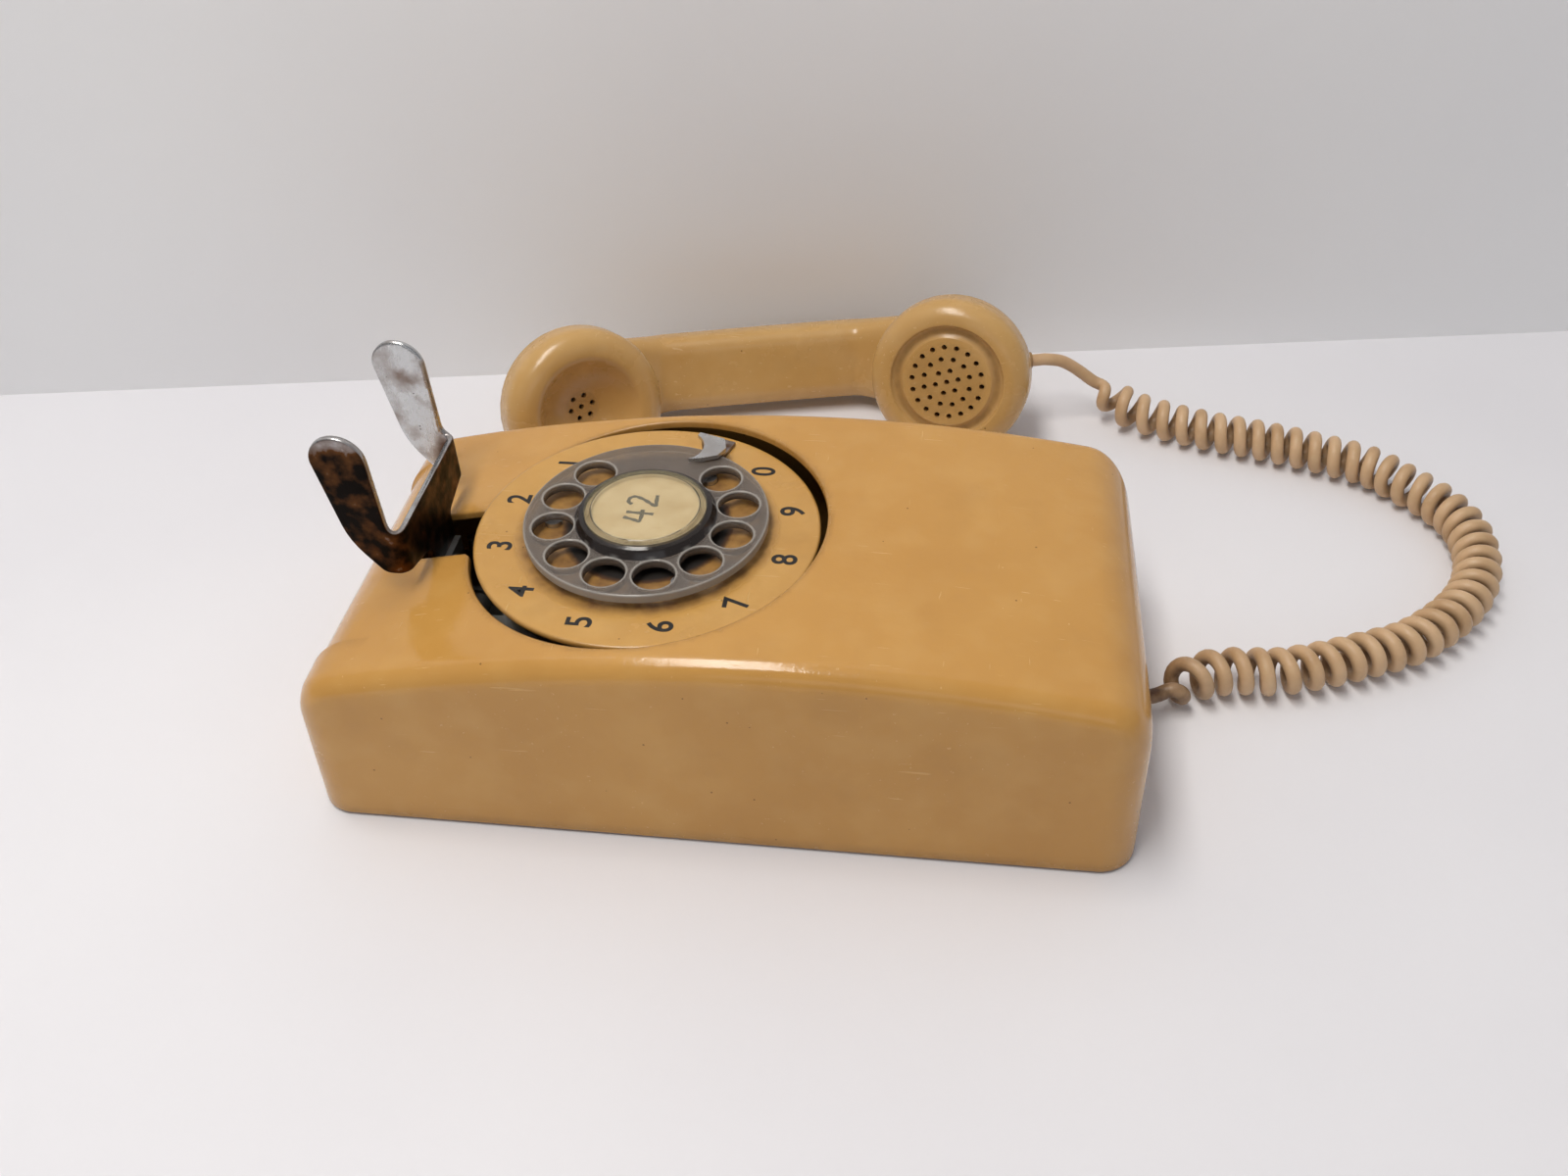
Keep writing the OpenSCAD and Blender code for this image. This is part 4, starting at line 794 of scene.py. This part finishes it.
def makeDigits(v):
    # printed figures 1 to 9 and 0, each upright when the hook end is up, as on a wall
    parts = []
    for n in range(10):
        curve = bpy.data.curves.new("digit", "FONT")
        curve.body = str((n + 1) % 10)
        curve.align_x = "CENTER"
        curve.align_y = "CENTER"
        curve.size = v["digitHeight"] / v["capitalShare"]
        curve.offset = v["digitBold"]
        curve.extrude = v["inkThick"]
        holder = bpy.data.objects.new("digit", curve)
        scene.collection.objects.link(holder)
        flat = evaluatedMesh(holder)
        xs = [p.co.x for p in flat.vertices]
        ys = [p.co.y for p in flat.vertices]
        middle = Vector(((min(xs) + max(xs)) / 2, (min(ys) + max(ys)) / 2, 0))
        a = math.radians(v["firstAngle"] - v["digitStep"] * (n - 1))
        x, y = v["x"] - v["digitRadius"] * math.cos(a), v["digitRadius"] * math.sin(a)
        place = Matrix.Translation((x, y, v["plateHigh"] + 0.02)) @ turnedBy(90)
        place = place @ Matrix.Diagonal((v["digitWidth"], 1, 1, 1)) @ Matrix.Translation(-middle)
        parts.append(([place @ p.co for p in flat.vertices], [list(f.vertices) for f in flat.polygons]))
        bpy.data.objects.remove(holder)
    piece = meshObject("printed_digits", joined(*parts), turnOut=False)
    finishes["digit_ink"] = inkMaterial("worn_black_print", "#0F0C0A", "#2E241A", 0.5)
    return dressed(piece, "phone", "digit_ink")


def makeFingerWheel(v):
    outerRadius, holes = v["wheelRadius"], []
    for k in range(10):
        a = math.radians(v["firstHole"] + v["holeStep"] * k)
        holes.append((v["fingerRing"] * math.cos(a), v["fingerRing"] * math.sin(a)))
    lip, rimLip = 0.55, 0.7
    radii = [3.02, 8, 14, 18] + [18.6 + 0.65 * k for k in range(30)]
    radii = [r for r in radii if r < outerRadius - rimLip - 0.3] + [outerRadius - rimLip]
    top, low = v["wheelHigh"], v["wheelLow"]

    def height(r):
        if r < v["cardRadius"] + 0.3:
            return v["hubHigh"] - 0.8
        if r < v["hubRadius"] - 1:
            return v["hubHigh"]
        return top + (v["hubHigh"] - top) * smoothstep((v["hubRadius"] + 0.25 - r) / 1.25)

    bm = bmesh.new()
    sectors = 300
    angles = [2 * math.pi * k / sectors for k in range(sectors)]
    rings = [[bm.verts.new((r * math.cos(a), r * math.sin(a), height(r))) for a in angles] for r in radii]
    for a, b in zip(rings, rings[1:]):
        for k in range(sectors):
            j = (k + 1) % sectors
            bm.faces.new([a[k], b[k], b[j], a[j]])

    def hole(p):
        return min(math.hypot(p.x - x, p.y - y) for x, y in holes) - v["fingerHole"] / 2 - lip

    cutSkin(bm, hole, 0.6)

    def into(p):
        r = math.hypot(p.x, p.y)
        if r > outerRadius - rimLip - 0.05:
            return Vector((p.x, p.y, 0))
        if r < 4:
            return Vector((-p.x, -p.y, 0))
        here = hole(p)
        return -Vector((hole(p + Vector((0.02, 0, 0))) - here, hole(p + Vector((0, 0.02, 0))) - here, 0))

    part = closedShell(bm, lambda p, n: Vector((p.x, p.y, low)), into, lip)
    piece = meshObject("clear_finger_wheel", moved(part, dialPlace), turnOut=False, sharp=50)

    def grime(p):
        # painted shade: the hub's flank is black, the shade beneath the clear hub; the finger-hole walls, the
        # underside and the outer edge are darkened, and grease lies near each hole's edge
        q = Vector((p.x - v["x"], p.y, p.z))
        r = math.hypot(q.x, q.y)
        inWall = hole(q) < -0.2 and low + 0.3 < q.z < top - 0.7
        edge = 1.1 if inWall else 0.3 * math.exp(-abs(hole(q)) / 0.5)
        hub = 1.9 if v["cardRadius"] < r < v["hubRadius"] + 0.7 else 0.0
        under = 0.25 if q.z < low + 0.2 else 0.0
        return max(edge, hub, under, 0.2 * smoothstep((r - outerRadius + 1) / 0.8))

    def rim(p):
        # painted highlight: the polished lips of the clear moulding are painted pale all round, brightest
        # along the top of each edge
        q = Vector((p.x - v["x"], p.y, p.z))
        lipEdge = math.exp(-((hole(q) + 0.15) / 0.3) ** 2) if q.z > top - 0.5 else 0.0
        inwards = (math.hypot(q.x, q.y) - outerRadius + 0.35) / 0.35
        outer = math.exp(-inwards ** 2) if q.z > low + 0.2 else 0.0
        return 0.4 * max(lipEdge, outer)

    storeGrime(piece, grime)
    storeGrime(piece, rim, "rim")
    return dressed(piece, "dial", "clear_amber", "finger_wheel")


def makeCardCover(v):
    # the clear cover over the card, with the fine turned rings round it
    r, z, edge = v["cardRadius"], v["hubHigh"], v["cardEdge"]
    rings = [(0, z + 1.42), (10, z + 1.36), (edge - 0.8, z + 1.22)]
    for k in range(v["cardRings"]):
        start, fall = edge + v["ringPitch"] * k, z - 0.06 * k
        rings += [(start - 0.08, fall + 0.86), (start + 0.08, fall + 1.12), (start + 0.26, fall + 1.1)]
    rings += [(edge + 2.05, z + 0.5), (v["hubRadius"] - 1.2, z + 0.05)]
    rings += [(r + 0.25, z + 0.03), (r + 0.2, z - 0.24), (0, z - 0.24)]
    piece = meshObject("clear_card_cover", lathe(rings, dialPlace, 144), sharp=50)

    def grime(p):
        # the grooves between the turned rings are darkened, and beyond the rings the cover is painted black,
        # the shade under the hub
        out = (math.hypot(p.x - v["x"], p.y) - edge + 0.08) / v["ringPitch"]
        groove = -0.3 < out < 4.4 and abs(out - round(out)) < 0.12 and p.z > z + 0.4
        return 1.6 if groove else 1.9 if out > 4.7 else 0.0

    storeGrime(piece, grime)
    return dressed(piece, "dial", "clear_cover", "card_retainer")


def makeWriting(v):
    # a plain two-figure number written by hand on the card
    strokes = [
        [(-5.2, 4.6), (-6.4, 1.0), (-6.9, -0.6), (-4.0, -0.9), (-1.2, -0.7)],
        [(-2.6, 4.2), (-2.9, 0.4), (-3.1, -4.4)],
        [(1.3, 3.2), (2.4, 4.5), (4.3, 4.4), (5.2, 2.9), (4.2, 0.4), (2.2, -2.4), (1.0, -4.2), (3.2, -4.1),
         (6.4, -3.9)],
    ]
    parts = []
    z, steps, penHalf = v["hubHigh"] - 0.275, 8, 0.62
    for stroke in strokes:
        line = []
        for i in range(len(stroke) - 1):
            p = [Vector(q) for q in neighbours(stroke, i)]
            line += [curveAt(p, j / steps) for j in range(steps + (i == len(stroke) - 2))]
        points, faces = [], []
        for i, p in enumerate(line):
            ahead = (line[min(i + 1, len(line) - 1)] - line[max(i - 1, 0)]).normalized()
            side = Vector((-ahead.y, ahead.x)) * (penHalf + 0.1 * math.sin(i * 0.9))
            points += [Vector((*(p + side), z)), Vector((*(p - side), z))]
        for i in range(len(line) - 1):
            faces.append([2 * i, 2 * i + 1, 2 * i + 3, 2 * i + 2])
        parts.append((points, faces))
    turn = dialPlace @ Matrix.Translation((-1.5, 1.0, 0)) @ turnedBy(90)
    piece = meshObject("written_number", moved(joined(*parts), turn), turnOut=False)
    finishes["pen_ink"] = inkMaterial("faded_pen_ink", "#15151D", "#34302A", 0.6)
    return dressed(piece, "dial", "pen_ink")


def makeFingerStop(v):
    # the blade's near edge curves round a finger: a circle bites it from the tip to its root
    tip, out, thick = v["fingerRing"], v["stopOut"] + v["stopThick"], v["stopThick"]
    half = v["stopWide"] / 2
    biteX, biteY, bite = tip + 5, 7.6, 8.6
    outline = [(tip, 1.0), (tip + 2.2, -3.0), (tip + 5.6, -6.8), (out - 4.6, -7.4), (out - 1.4, -5.6)]
    outline += [(out, -half), (out, half)]
    first = math.asin((half - biteY) / bite)
    last = math.atan2(1.0 - biteY, tip - biteX)
    outline.append((biteX + bite * math.cos(first), half))
    steps = 16
    for k in range(1, steps):
        a = first - (first + 2 * math.pi + last) * k / steps
        x, y = biteX + bite * math.cos(a), biteY + bite * math.sin(a)
        if x > tip and y < half:
            outline.append((x, y))
    floor, low = v["plateHigh"], v["stopLow"]

    def strip(end, bottom, top):
        start = v["stopOut"]
        return slab([(start, -half), (end, -half), (end, half - 1), (start, half - 1)], bottom, top)

    blade = slab(outline, low, low + thick)
    riser = strip(out, floor, low + 0.4)
    foot = strip(v["stopFoot"], floor, floor + thick)
    turn = dialPlace @ turnedBy(v["stopAngle"])
    piece = meshObject("finger_stop_blade", moved(joined(blade, riser, foot), turn), bevel=0.3)
    storeGrime(piece, lambda p: 0.5 * smoothstep((low - p.z) / 3))
    finishes["stop_steel"] = platedMetal("polished_stop_steel", "#CFD0D2", "#8F8577", 0.2, 0.35)
    return dressed(piece, "phone", "stop_steel", "finger_stop")


makeNumberPlate(dialValues)
makeDigits(dialValues)
makeFingerWheel(dialValues)
makeCardCover(dialValues)
makeWriting(dialValues)
makeFingerStop(dialValues)
print("stage 5: dial made")


# Hook: one stamped plate, its arm widening into a crossbar and folded forward into two prongs

hookValues = {
    "faceX": -94.6, "top": 82, "bar": 15, "gap": 50, "thick": 2, "foldRadius": 4, "prong": 34, "width": 15,
    "lean": 2, "armWidth": 19, "armLow": 40, "lip": 0.6, "corner": 3.5, "grid": 0.9,
}


def flatHook(v):
    # half of the plate before folding: (distance from the middle, height), and where the fold ends
    bar = v["gap"] / 2 + v["thick"] - v["foldRadius"]
    fold = bar + v["foldRadius"] * math.pi / 2
    low, arm = v["top"] - v["bar"], v["armWidth"] / 2
    tip = 0.56 * v["width"]
    middle = v["prong"] - tip
    shift = middle * math.tan(math.radians(v["lean"]))
    tipZ = v["top"] + middle
    roundTip = [math.pi * k / 20 for k in range(1, 20)]
    outline = softened([
        (0, v["armLow"], 0), (arm, v["armLow"], 1), (arm, low - v["bar"] / 4, 2), (bar, low, 2),
        (fold + 0.26 * v["width"], low, 2), (fold + 0.85 * v["width"], low + 0.8 * v["bar"], 6),
        (fold + shift + 2 * tip, tipZ, 0),
    ])
    outline += [(fold + shift + tip + tip * math.cos(a), tipZ + tip * math.sin(a)) for a in roundTip]
    outline += softened([(fold + shift, tipZ, 0), (fold, v["top"], v["corner"]), (0, v["top"], 0)], 6)
    return outline, bar, fold


def makeHook(v):
    outline, bar, fold = flatHook(v)
    edges = []
    for (ax, az), (bx, bz) in zip(outline, outline[1:]):
        long = math.hypot(bx - ax, bz - az)
        if long > 1e-6:
            edges.append((ax, az, (bx - ax) / long, (bz - az) / long, long))

    def beyond(p):
        # distance outside the plate's outline, negative within it; the outline runs anticlockwise
        x, z = abs(p.x), p.y
        nearest, within = 1e9, False
        for ax, az, ux, uz, long in edges:
            t = min(long, max(0.0, (x - ax) * ux + (z - az) * uz))
            nearest = min(nearest, math.hypot(x - ax - t * ux, z - az - t * uz))
            bz = az + uz * long
            if (az > z) != (bz > z) and x < ax + (z - az) * ux / uz:
                within = not within
        return -nearest if within else nearest

    bm = bmesh.new()
    wide, step = fold + 22, v["grid"]
    columns = [-wide + step * k for k in range(round(2 * wide / step) + 1)]
    high = v["top"] + v["prong"] - v["armLow"] + 2
    rows = [v["armLow"] - 1 + step * k for k in range(round(high / step) + 1)]
    grid = [[bm.verts.new((x, z, 0)) for x in columns] for z in rows]
    for a, b in zip(grid, grid[1:]):
        for k in range(len(columns) - 1):
            bm.faces.new([a[k], a[k + 1], b[k + 1], b[k]])
    cutSkin(bm, lambda p: -beyond(p) - v["lip"], step)
    slope = Vector((0.02, 0, 0)), Vector((0, 0.02, 0))
    part = closedShell(
        bm, lambda p, n: Vector((p.x, p.y, -v["thick"])),
        lambda p: Vector([beyond(p + d) - beyond(p) for d in slope] + [0.0]), v["lip"],
    )
    foldX, radius = v["faceX"] - v["foldRadius"], v["foldRadius"]

    def folded(p):
        reach, way = abs(p.x), math.copysign(1, p.x)
        if reach <= bar:
            return Vector((v["faceX"] + p.z, p.x, p.y))
        if reach <= fold:
            a = (reach - bar) / radius
            out = radius + p.z
            return Vector((foldX + out * math.cos(a), way * (bar + out * math.sin(a)), p.y))
        return Vector((foldX - (reach - fold), way * (bar + radius + p.z), p.y))

    piece = meshObject("hook_plate", ([folded(p) for p in part[0]], part[1]), sharp=70)

    def grime(p):
        # the arm below z 66 is painted black, the shade in the slot, over rust; the plate's outer side is
        # darkened, rust and painted shade, lighter near the prong tips; patches near the fold corners darken
        # too
        dx, dy = p.x - foldX, abs(p.y) - bar
        reach = dy if dx < 0 else dx if dy < 0 else math.hypot(dx, dy)
        outside = smoothstep((reach - radius + 0.3) / 0.25)
        onArm = smoothstep((66 - p.z) / 3)
        fringe = smoothstep((p.z - v["top"] - v["prong"] + 7) / 5)
        corner = 0.75 * math.exp(-((dx - 1) / 5) ** 2 - ((p.z - 74) / 9) ** 2) if abs(p.y) > 18 else 0.0
        return max(onArm, outside * (1.0 - 0.6 * fringe), corner, 0.08)

    storeGrime(piece, grime)
    return dressed(piece, "hook", "chromed_steel", "hook_cradle")


makeHook(hookValues)
print("stage 6: hook made")


# Handset: grip, two cups and two caps in one local frame, X along the grip and Z out of the caps

handsetValues = {
    "at": (-6, 126, 35.4), "roll": 72.5, "yaw": 13.4, "rimHalf": 70.4, "tilt": 22,
    "capRadius": 32, "capHeight": 16, "capRound": 8, "capWall": 2.6, "dishRadius": 21, "dishDepth": 12,
    "dishSeat": 18.9, "discSink": 0.9, "soundHole": 2.1, "soundPitch": 4.7, "soundTurn": 13, "voxel": 0.9,
    "easings": 26, "seamEasings": 5,
}
lying = Euler((math.radians(handsetValues["roll"]), 0, math.radians(handsetValues["yaw"])))
handsetPlace = Matrix.Translation(handsetValues["at"]) @ lying.to_matrix().to_4x4()


def capPlace(v, side):
    # side is -1 at the receiver and 1 at the transmitter
    return handsetPlace @ Matrix.Translation((side * v["rimHalf"], 0, 0)) @ turnedBy(-side * v["tilt"], "Y")


def soundHoleTree(rings):
    # Geometry Nodes: takes a cap, punches one middle hole and rings of 6, 12, 18 holes about its axis
    tree = bpy.data.node_groups.new("sound_holes_" + str(rings), "GeometryNodeTree")
    face = tree.interface
    face.new_socket("Geometry", in_out="INPUT", socket_type="NodeSocketGeometry")
    usual = {"Hole radius": 0.00105, "Ring spacing": 0.0047, "Depth": 0.04, "First angle": 0.2269}
    for name, value in usual.items():
        face.new_socket(name, in_out="INPUT", socket_type="NodeSocketFloat").default_value = value
    face.new_socket("Finish", in_out="INPUT", socket_type="NodeSocketMaterial")
    face.new_socket("Geometry", in_out="OUTPUT", socket_type="NodeSocketGeometry")
    given = addNode(tree, "NodeGroupInput").outputs
    size = {"Vertices": 20, "Radius": given["Hole radius"], "Depth": given["Depth"]}
    drill = addNode(tree, "GeometryNodeMeshCylinder", size)
    places = addNode(tree, "GeometryNodeJoinGeometry")
    middle = addNode(tree, "GeometryNodeMeshLine", {"Count": 1})
    tree.links.new(middle.outputs[0], places.inputs[0])
    for k in range(1, rings + 1):
        radius = product(tree, given["Ring spacing"], float(k))
        ring = addNode(tree, "GeometryNodeMeshCircle", {"Vertices": 6 * k, "Radius": radius})
        turn = addNode(tree, "ShaderNodeCombineXYZ", {"Z": given["First angle"]})
        swung = {"Geometry": ring.outputs[0], "Rotation": turn.outputs[0]}
        turned = addNode(tree, "GeometryNodeTransform", swung)
        tree.links.new(turned.outputs[0], places.inputs[0])
    sites = {"Points": places.outputs[0], "Instance": drill.outputs[0]}
    drills = addNode(tree, "GeometryNodeInstanceOnPoints", sites)
    real = addNode(tree, "GeometryNodeRealizeInstances", {0: drills.outputs[0]})
    less = {"operation": "DIFFERENCE", "solver": "EXACT"}
    punch = addNode(tree, "GeometryNodeMeshBoolean", {0: given["Geometry"]}, **less)
    tree.links.new(real.outputs[0], punch.inputs[1])
    finish = {"Geometry": punch.outputs[0], "Material": given["Finish"]}
    finished = addNode(tree, "GeometryNodeSetMaterial", finish)
    whole = addNode(tree, "GeometryNodeRealizeInstances", {0: finished.outputs[0]})
    addNode(tree, "NodeGroupOutput", {0: whole.outputs[0]})
    return tree


def throughTree(piece, tree, values):
    # runs a Geometry Nodes tree on a piece and keeps the result as its plain mesh
    modifier = piece.modifiers.new(tree.name, "NODES")
    modifier.node_group = tree
    for item in tree.interface.items_tree:
        if item.in_out == "INPUT" and item.name in values:
            modifier[item.identifier] = values[item.name]
    done = evaluatedMesh(piece)
    piece.modifiers.clear()
    piece.data = done


def capShellProfile(v, centre):
    r, h, e = v["capRadius"], v["capHeight"], v["capRound"]
    outside = [(r - 0.35, -h + 0.02), (r - 0.05, -h + 0.3), (r, -h + 0.8), (r, -e - 3)]
    for a in [math.pi / 24 * k for k in range(13)]:
        outside.append((r - e + e * math.cos(a), -e + e * math.sin(a)))
    return outside + centre + [(r - v["capWall"], -h + 0.02)]


def makeCap(v, side, name, node, centre, rings):
    profile = capShellProfile(v, centre)
    piece = meshObject(name, lathe(profile + [profile[0]], Matrix.Identity(4), 144))
    throughTree(piece, soundHoleTree(rings), {
        "Hole radius": v["soundHole"] / 2000, "Ring spacing": v["soundPitch"] / 1000,
        "First angle": math.radians(v["soundTurn"]), "Finish": finishes["handset_tan"],
    })
    place = capPlace(v, side)
    piece.data.transform(Matrix.Translation(place.translation / 1000) @ place.to_3x3().to_4x4())
    piece.data.shade_smooth()
    piece.data.set_sharp_from_angle(angle=math.radians(35))
    back = place.inverted()

    def grime(p):
        q = back @ p
        radius = math.hypot(q.x, q.y)
        seam = 0.9 * math.exp(-(q.z + v["capHeight"]) / 0.5)
        atHoles = radius < v["soundPitch"] * (rings + 0.4) and q.z < -v["capHeight"] * 0.05
        # painted shade: the transmitter's sunken moat is darkened; the dark line at the seam is the joint
        moat = 0.6 * math.exp(-((radius - 20.2) / 1.6) ** 2) if side > 0 and q.z > -5 else 0.0
        return max(seam, 0.25 if atHoles else 0.0, moat, 0.05)

    storeGrime(piece, grime)
    return dressed(piece, "handset", "handset_tan", node)


def makeHandsetBody(v):
    # the solid's own form, merged, remeshed fine and eased so that grip, necks and cups flow together
    mesh = frame["nodes"]["handset_body"].data.copy()
    piece = bpy.data.objects.new("handset_grip", mesh)
    scene.collection.objects.link(piece)
    bm = bmesh.new()
    bm.from_mesh(mesh)
    bmesh.ops.remove_doubles(bm, verts=bm.verts, dist=1e-6)
    bm.to_mesh(mesh)
    bm.free()
    remesh = piece.modifiers.new("remesh", "REMESH")
    remesh.mode = "VOXEL"
    remesh.voxel_size = v["voxel"] / 1000
    fine = evaluatedMesh(piece)
    piece.modifiers.clear()
    piece.data = fine
    places = [capPlace(v, s).inverted() for s in (-1, 1)]
    bm = bmesh.new()
    bm.from_mesh(fine)

    def easing(p):
        # nothing moves within 2 mm of a seam; grip, necks and the cups' ends are eased most
        nearest = min([m @ p for m in places], key=lambda q: math.hypot(q.x, q.y) + abs(q.z + 20))
        atCup = math.hypot(nearest.x, nearest.y) < 36
        return smoothstep((-v["capHeight"] - 2.0 - nearest.z) / 4) if atCup else 1.0

    free = [x for x in bm.verts if easing(x.co * 1000) > 0.5]
    some = [x for x in bm.verts if 0.02 < easing(x.co * 1000)]
    everyWay = {"use_axis_x": True, "use_axis_y": True, "use_axis_z": True}
    for k in range(v["easings"]):
        bmesh.ops.smooth_vert(bm, verts=free if k >= v["seamEasings"] else some, factor=0.5, **everyWay)
    bmesh.ops.recalc_face_normals(bm, faces=bm.faces)
    bm.to_mesh(fine)
    bm.free()
    fine.shade_smooth()

    def grime(p):
        near = [q for q in [m @ p for m in places] if math.hypot(q.x, q.y) < 33.5]
        return max([0.9 * math.exp(-abs(q.z + v["capHeight"]) / 0.6) for q in near] + [0.06])

    storeGrime(piece, grime)
    return dressed(piece, "handset", "handset_tan", "handset_body")


def makeHandset(v):
    big = (v["dishRadius"] ** 2 + v["dishDepth"] ** 2) / (2 * v["dishDepth"])
    rise = big - v["dishDepth"]
    seat, floor = v["dishSeat"], -v["discSink"]

    def bowl(r, sphere):
        return r, rise - math.sqrt(sphere ** 2 - r ** 2)

    dish = [bowl(seat * (1 - k / 24), big) for k in range(24)]
    dishEdge = softened([(24, 0, 0), (21.2, -0.05, 2.0), (*bowl(seat, big), 0)], 6)
    below = [bowl(22 * k / 15, big + 2.4) for k in range(16)]
    receiverCentre = dishEdge[1:] + dish[1:] + [(0, -v["dishDepth"])] + below + [(26.5, -4.5), (29.4, -8)]
    makeCap(v, -1, "receiver_cap_shell", "receiver_cap", receiverCentre, 1)
    moat = softened([
        (24, 0, 0), (22.9, 0, 0.5), (22.2, -1.4, 0.5), (21.2, -2.1, 0.5), (19.4, -2.1, 0.5),
        (18.5, -1.5, 0.4), (17.8, floor, 0.4), (16.4, floor, 0),
    ], 4)
    disc = [(r, floor) for r in (14, 11, 8, 5, 2, 0)]
    transmitterCentre = moat[1:] + disc + [(0, -6), (14, -6), (28.4, -6)]
    makeCap(v, 1, "transmitter_cap_shell", "transmitter_cap", transmitterCentre, 3)
    makeHandsetBody(v)


makeHandset(handsetValues)
print("stage 7: handset made")


# Cord sleeve at the housing, in place of its solid; the one at the handset keeps its own

sleeveValues = {"start": 121, "end": 128.4, "radius": 4.8, "flange": 6.4, "cordHeight": 9}


def makeSleeve(v):
    place = Matrix.Translation((v["start"], 0, v["cordHeight"])) @ turnedBy(90, "Y")
    length, radius, flange = v["end"] - v["start"], v["radius"], v["flange"]
    profile = softened([
        (0, 0, 0), (flange, 0, 0.3), (flange, 2.5, 0.5), (radius, 2.6, 0), (radius, length, 0.9),
        (2.7, length, 0.2), (2.6, length - 1.5, 0), (0, length - 1.5, 0),
    ])
    piece = meshObject("housing_cord_sleeve", lathe(profile, place, 48))
    storeGrime(piece, lambda p: 0.35)
    return dressed(piece, "phone", "dark_rubber", "cord_grommet")


makeSleeve(sleeveValues)


# The other nodes keep their own solids and take a finish by their slot

covered = set()
for thing in bpy.data.objects:
    covered.update(thing.get("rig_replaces", []))
for name, node in frame["nodes"].items():
    if name in covered:
        continue
    for holder in node.material_slots:
        slotName = holder.material.name.split(".")[0] if holder.material else ""
        if slotName not in finishes:
            print("no finish for", name, slotName)
            continue
        holder.material = finishes[slotName]
print("stage 8: inner parts finished,", len(frame["nodes"]) - len(covered), "nodes")


# Floor, wall, world and lamps; the lamps' places and sizes are in metres

stageValues = {
    "floor": "#E9E8EC", "wall": "#F2F2F3", "wallFrom": (-278.4, 168.7), "wallTo": (254.6, 250.5),
    "sideways": 1500, "forward": 2600, "behind": 1500, "wallHeight": 1600, "underObject": 0.3,
    "world": "#F4F5F8", "worldStrength": 0.33,
}
lampValues = {
    "ceiling_panel": {
        "place": (-0.25, 0.02, 1.25), "aim": (0.0, 0.03, 0.0), "size": (1.4, 0.28),
        "watts": 18, "colour": "#FFFBF4",
    },
    "window_panel": {
        "place": (0.25, -1.15, 0.55), "aim": (0.0, 0.0, 0.03), "size": (1.0, 0.35),
        "watts": 0.6, "colour": "#F3F7FF",
    },
}


def matteStage(name, base, other):
    # painted board and laminate: matt, almost even, with the faintest cloud
    material, tree = startMaterial(name)
    colour = layered(tree, base, (other, patches(tree, 260, 0.3, 0.7)))
    return finishMaterial(material, colour, 0.75, patches(tree, 3, 0.3, 0.7), 0.01)


def clearFromBehind(material):
    # the wall is there from its front only, so the telephone also shows from behind it
    tree = material.node_tree
    output = next(n for n in tree.nodes if n.bl_idname == "ShaderNodeOutputMaterial")
    front = output.inputs["Surface"].links[0].from_socket
    behind = addNode(tree, "ShaderNodeNewGeometry").outputs["Backfacing"]
    clear = addNode(tree, "ShaderNodeBsdfTransparent")
    mixed = addNode(tree, "ShaderNodeMixShader", {0: behind, 1: front, 2: clear.outputs[0]})
    tree.links.new(mixed.outputs[0], output.inputs["Surface"])
    return material


def makeStage(v):
    start, end = Vector((*v["wallFrom"], 0)), Vector((*v["wallTo"], 0))
    along = (end - start).normalized()
    inward = Vector((along.y, -along.x, 0))
    left, right = start - along * v["sideways"], end + along * v["sideways"]
    front, back = inward * v["forward"], -inward * v["behind"]
    below, top = Vector((0, 0, -v["underObject"])), Vector((0, 0, v["wallHeight"]))
    floorCorners = [left + back + below, right + back + below, right + front + below, left + front + below]
    wallCorners = [left + below, right + below, right + top, left + top]
    floor = meshObject("table_top", (floorCorners, [[3, 2, 1, 0]]), turnOut=False)
    wall = meshObject("back_wall", (wallCorners, [[0, 1, 2, 3]]), turnOut=False)
    floor.data.materials.append(matteStage("pale_laminate", v["floor"], "#E2E1E6"))
    wall.data.materials.append(clearFromBehind(matteStage("pale_paint", v["wall"], "#EDEDEF")))
    world = bpy.data.worlds.new("soft_room")
    scene.world = world
    world.use_nodes = True
    background = world.node_tree.nodes["Background"]
    background.inputs[0].default_value = linear(v["world"])
    background.inputs[1].default_value = v["worldStrength"]


def addLamp(name, place, aim, size, watts, colour):
    data = bpy.data.lights.new(name, "AREA")
    data.shape = "RECTANGLE"
    data.size, data.size_y = size
    data.energy = watts
    data.color = linear(colour)[:3]
    lamp = bpy.data.objects.new(name, data)
    turn = (Vector(aim) - Vector(place)).to_track_quat("-Z", "Y").to_matrix().to_4x4()
    lamp.matrix_world = Matrix.Translation(place) @ turn
    scene.collection.objects.link(lamp)


makeStage(stageValues)
for name, values in lampValues.items():
    addLamp(name, **values)
print("stage 9: stage and lamps placed")
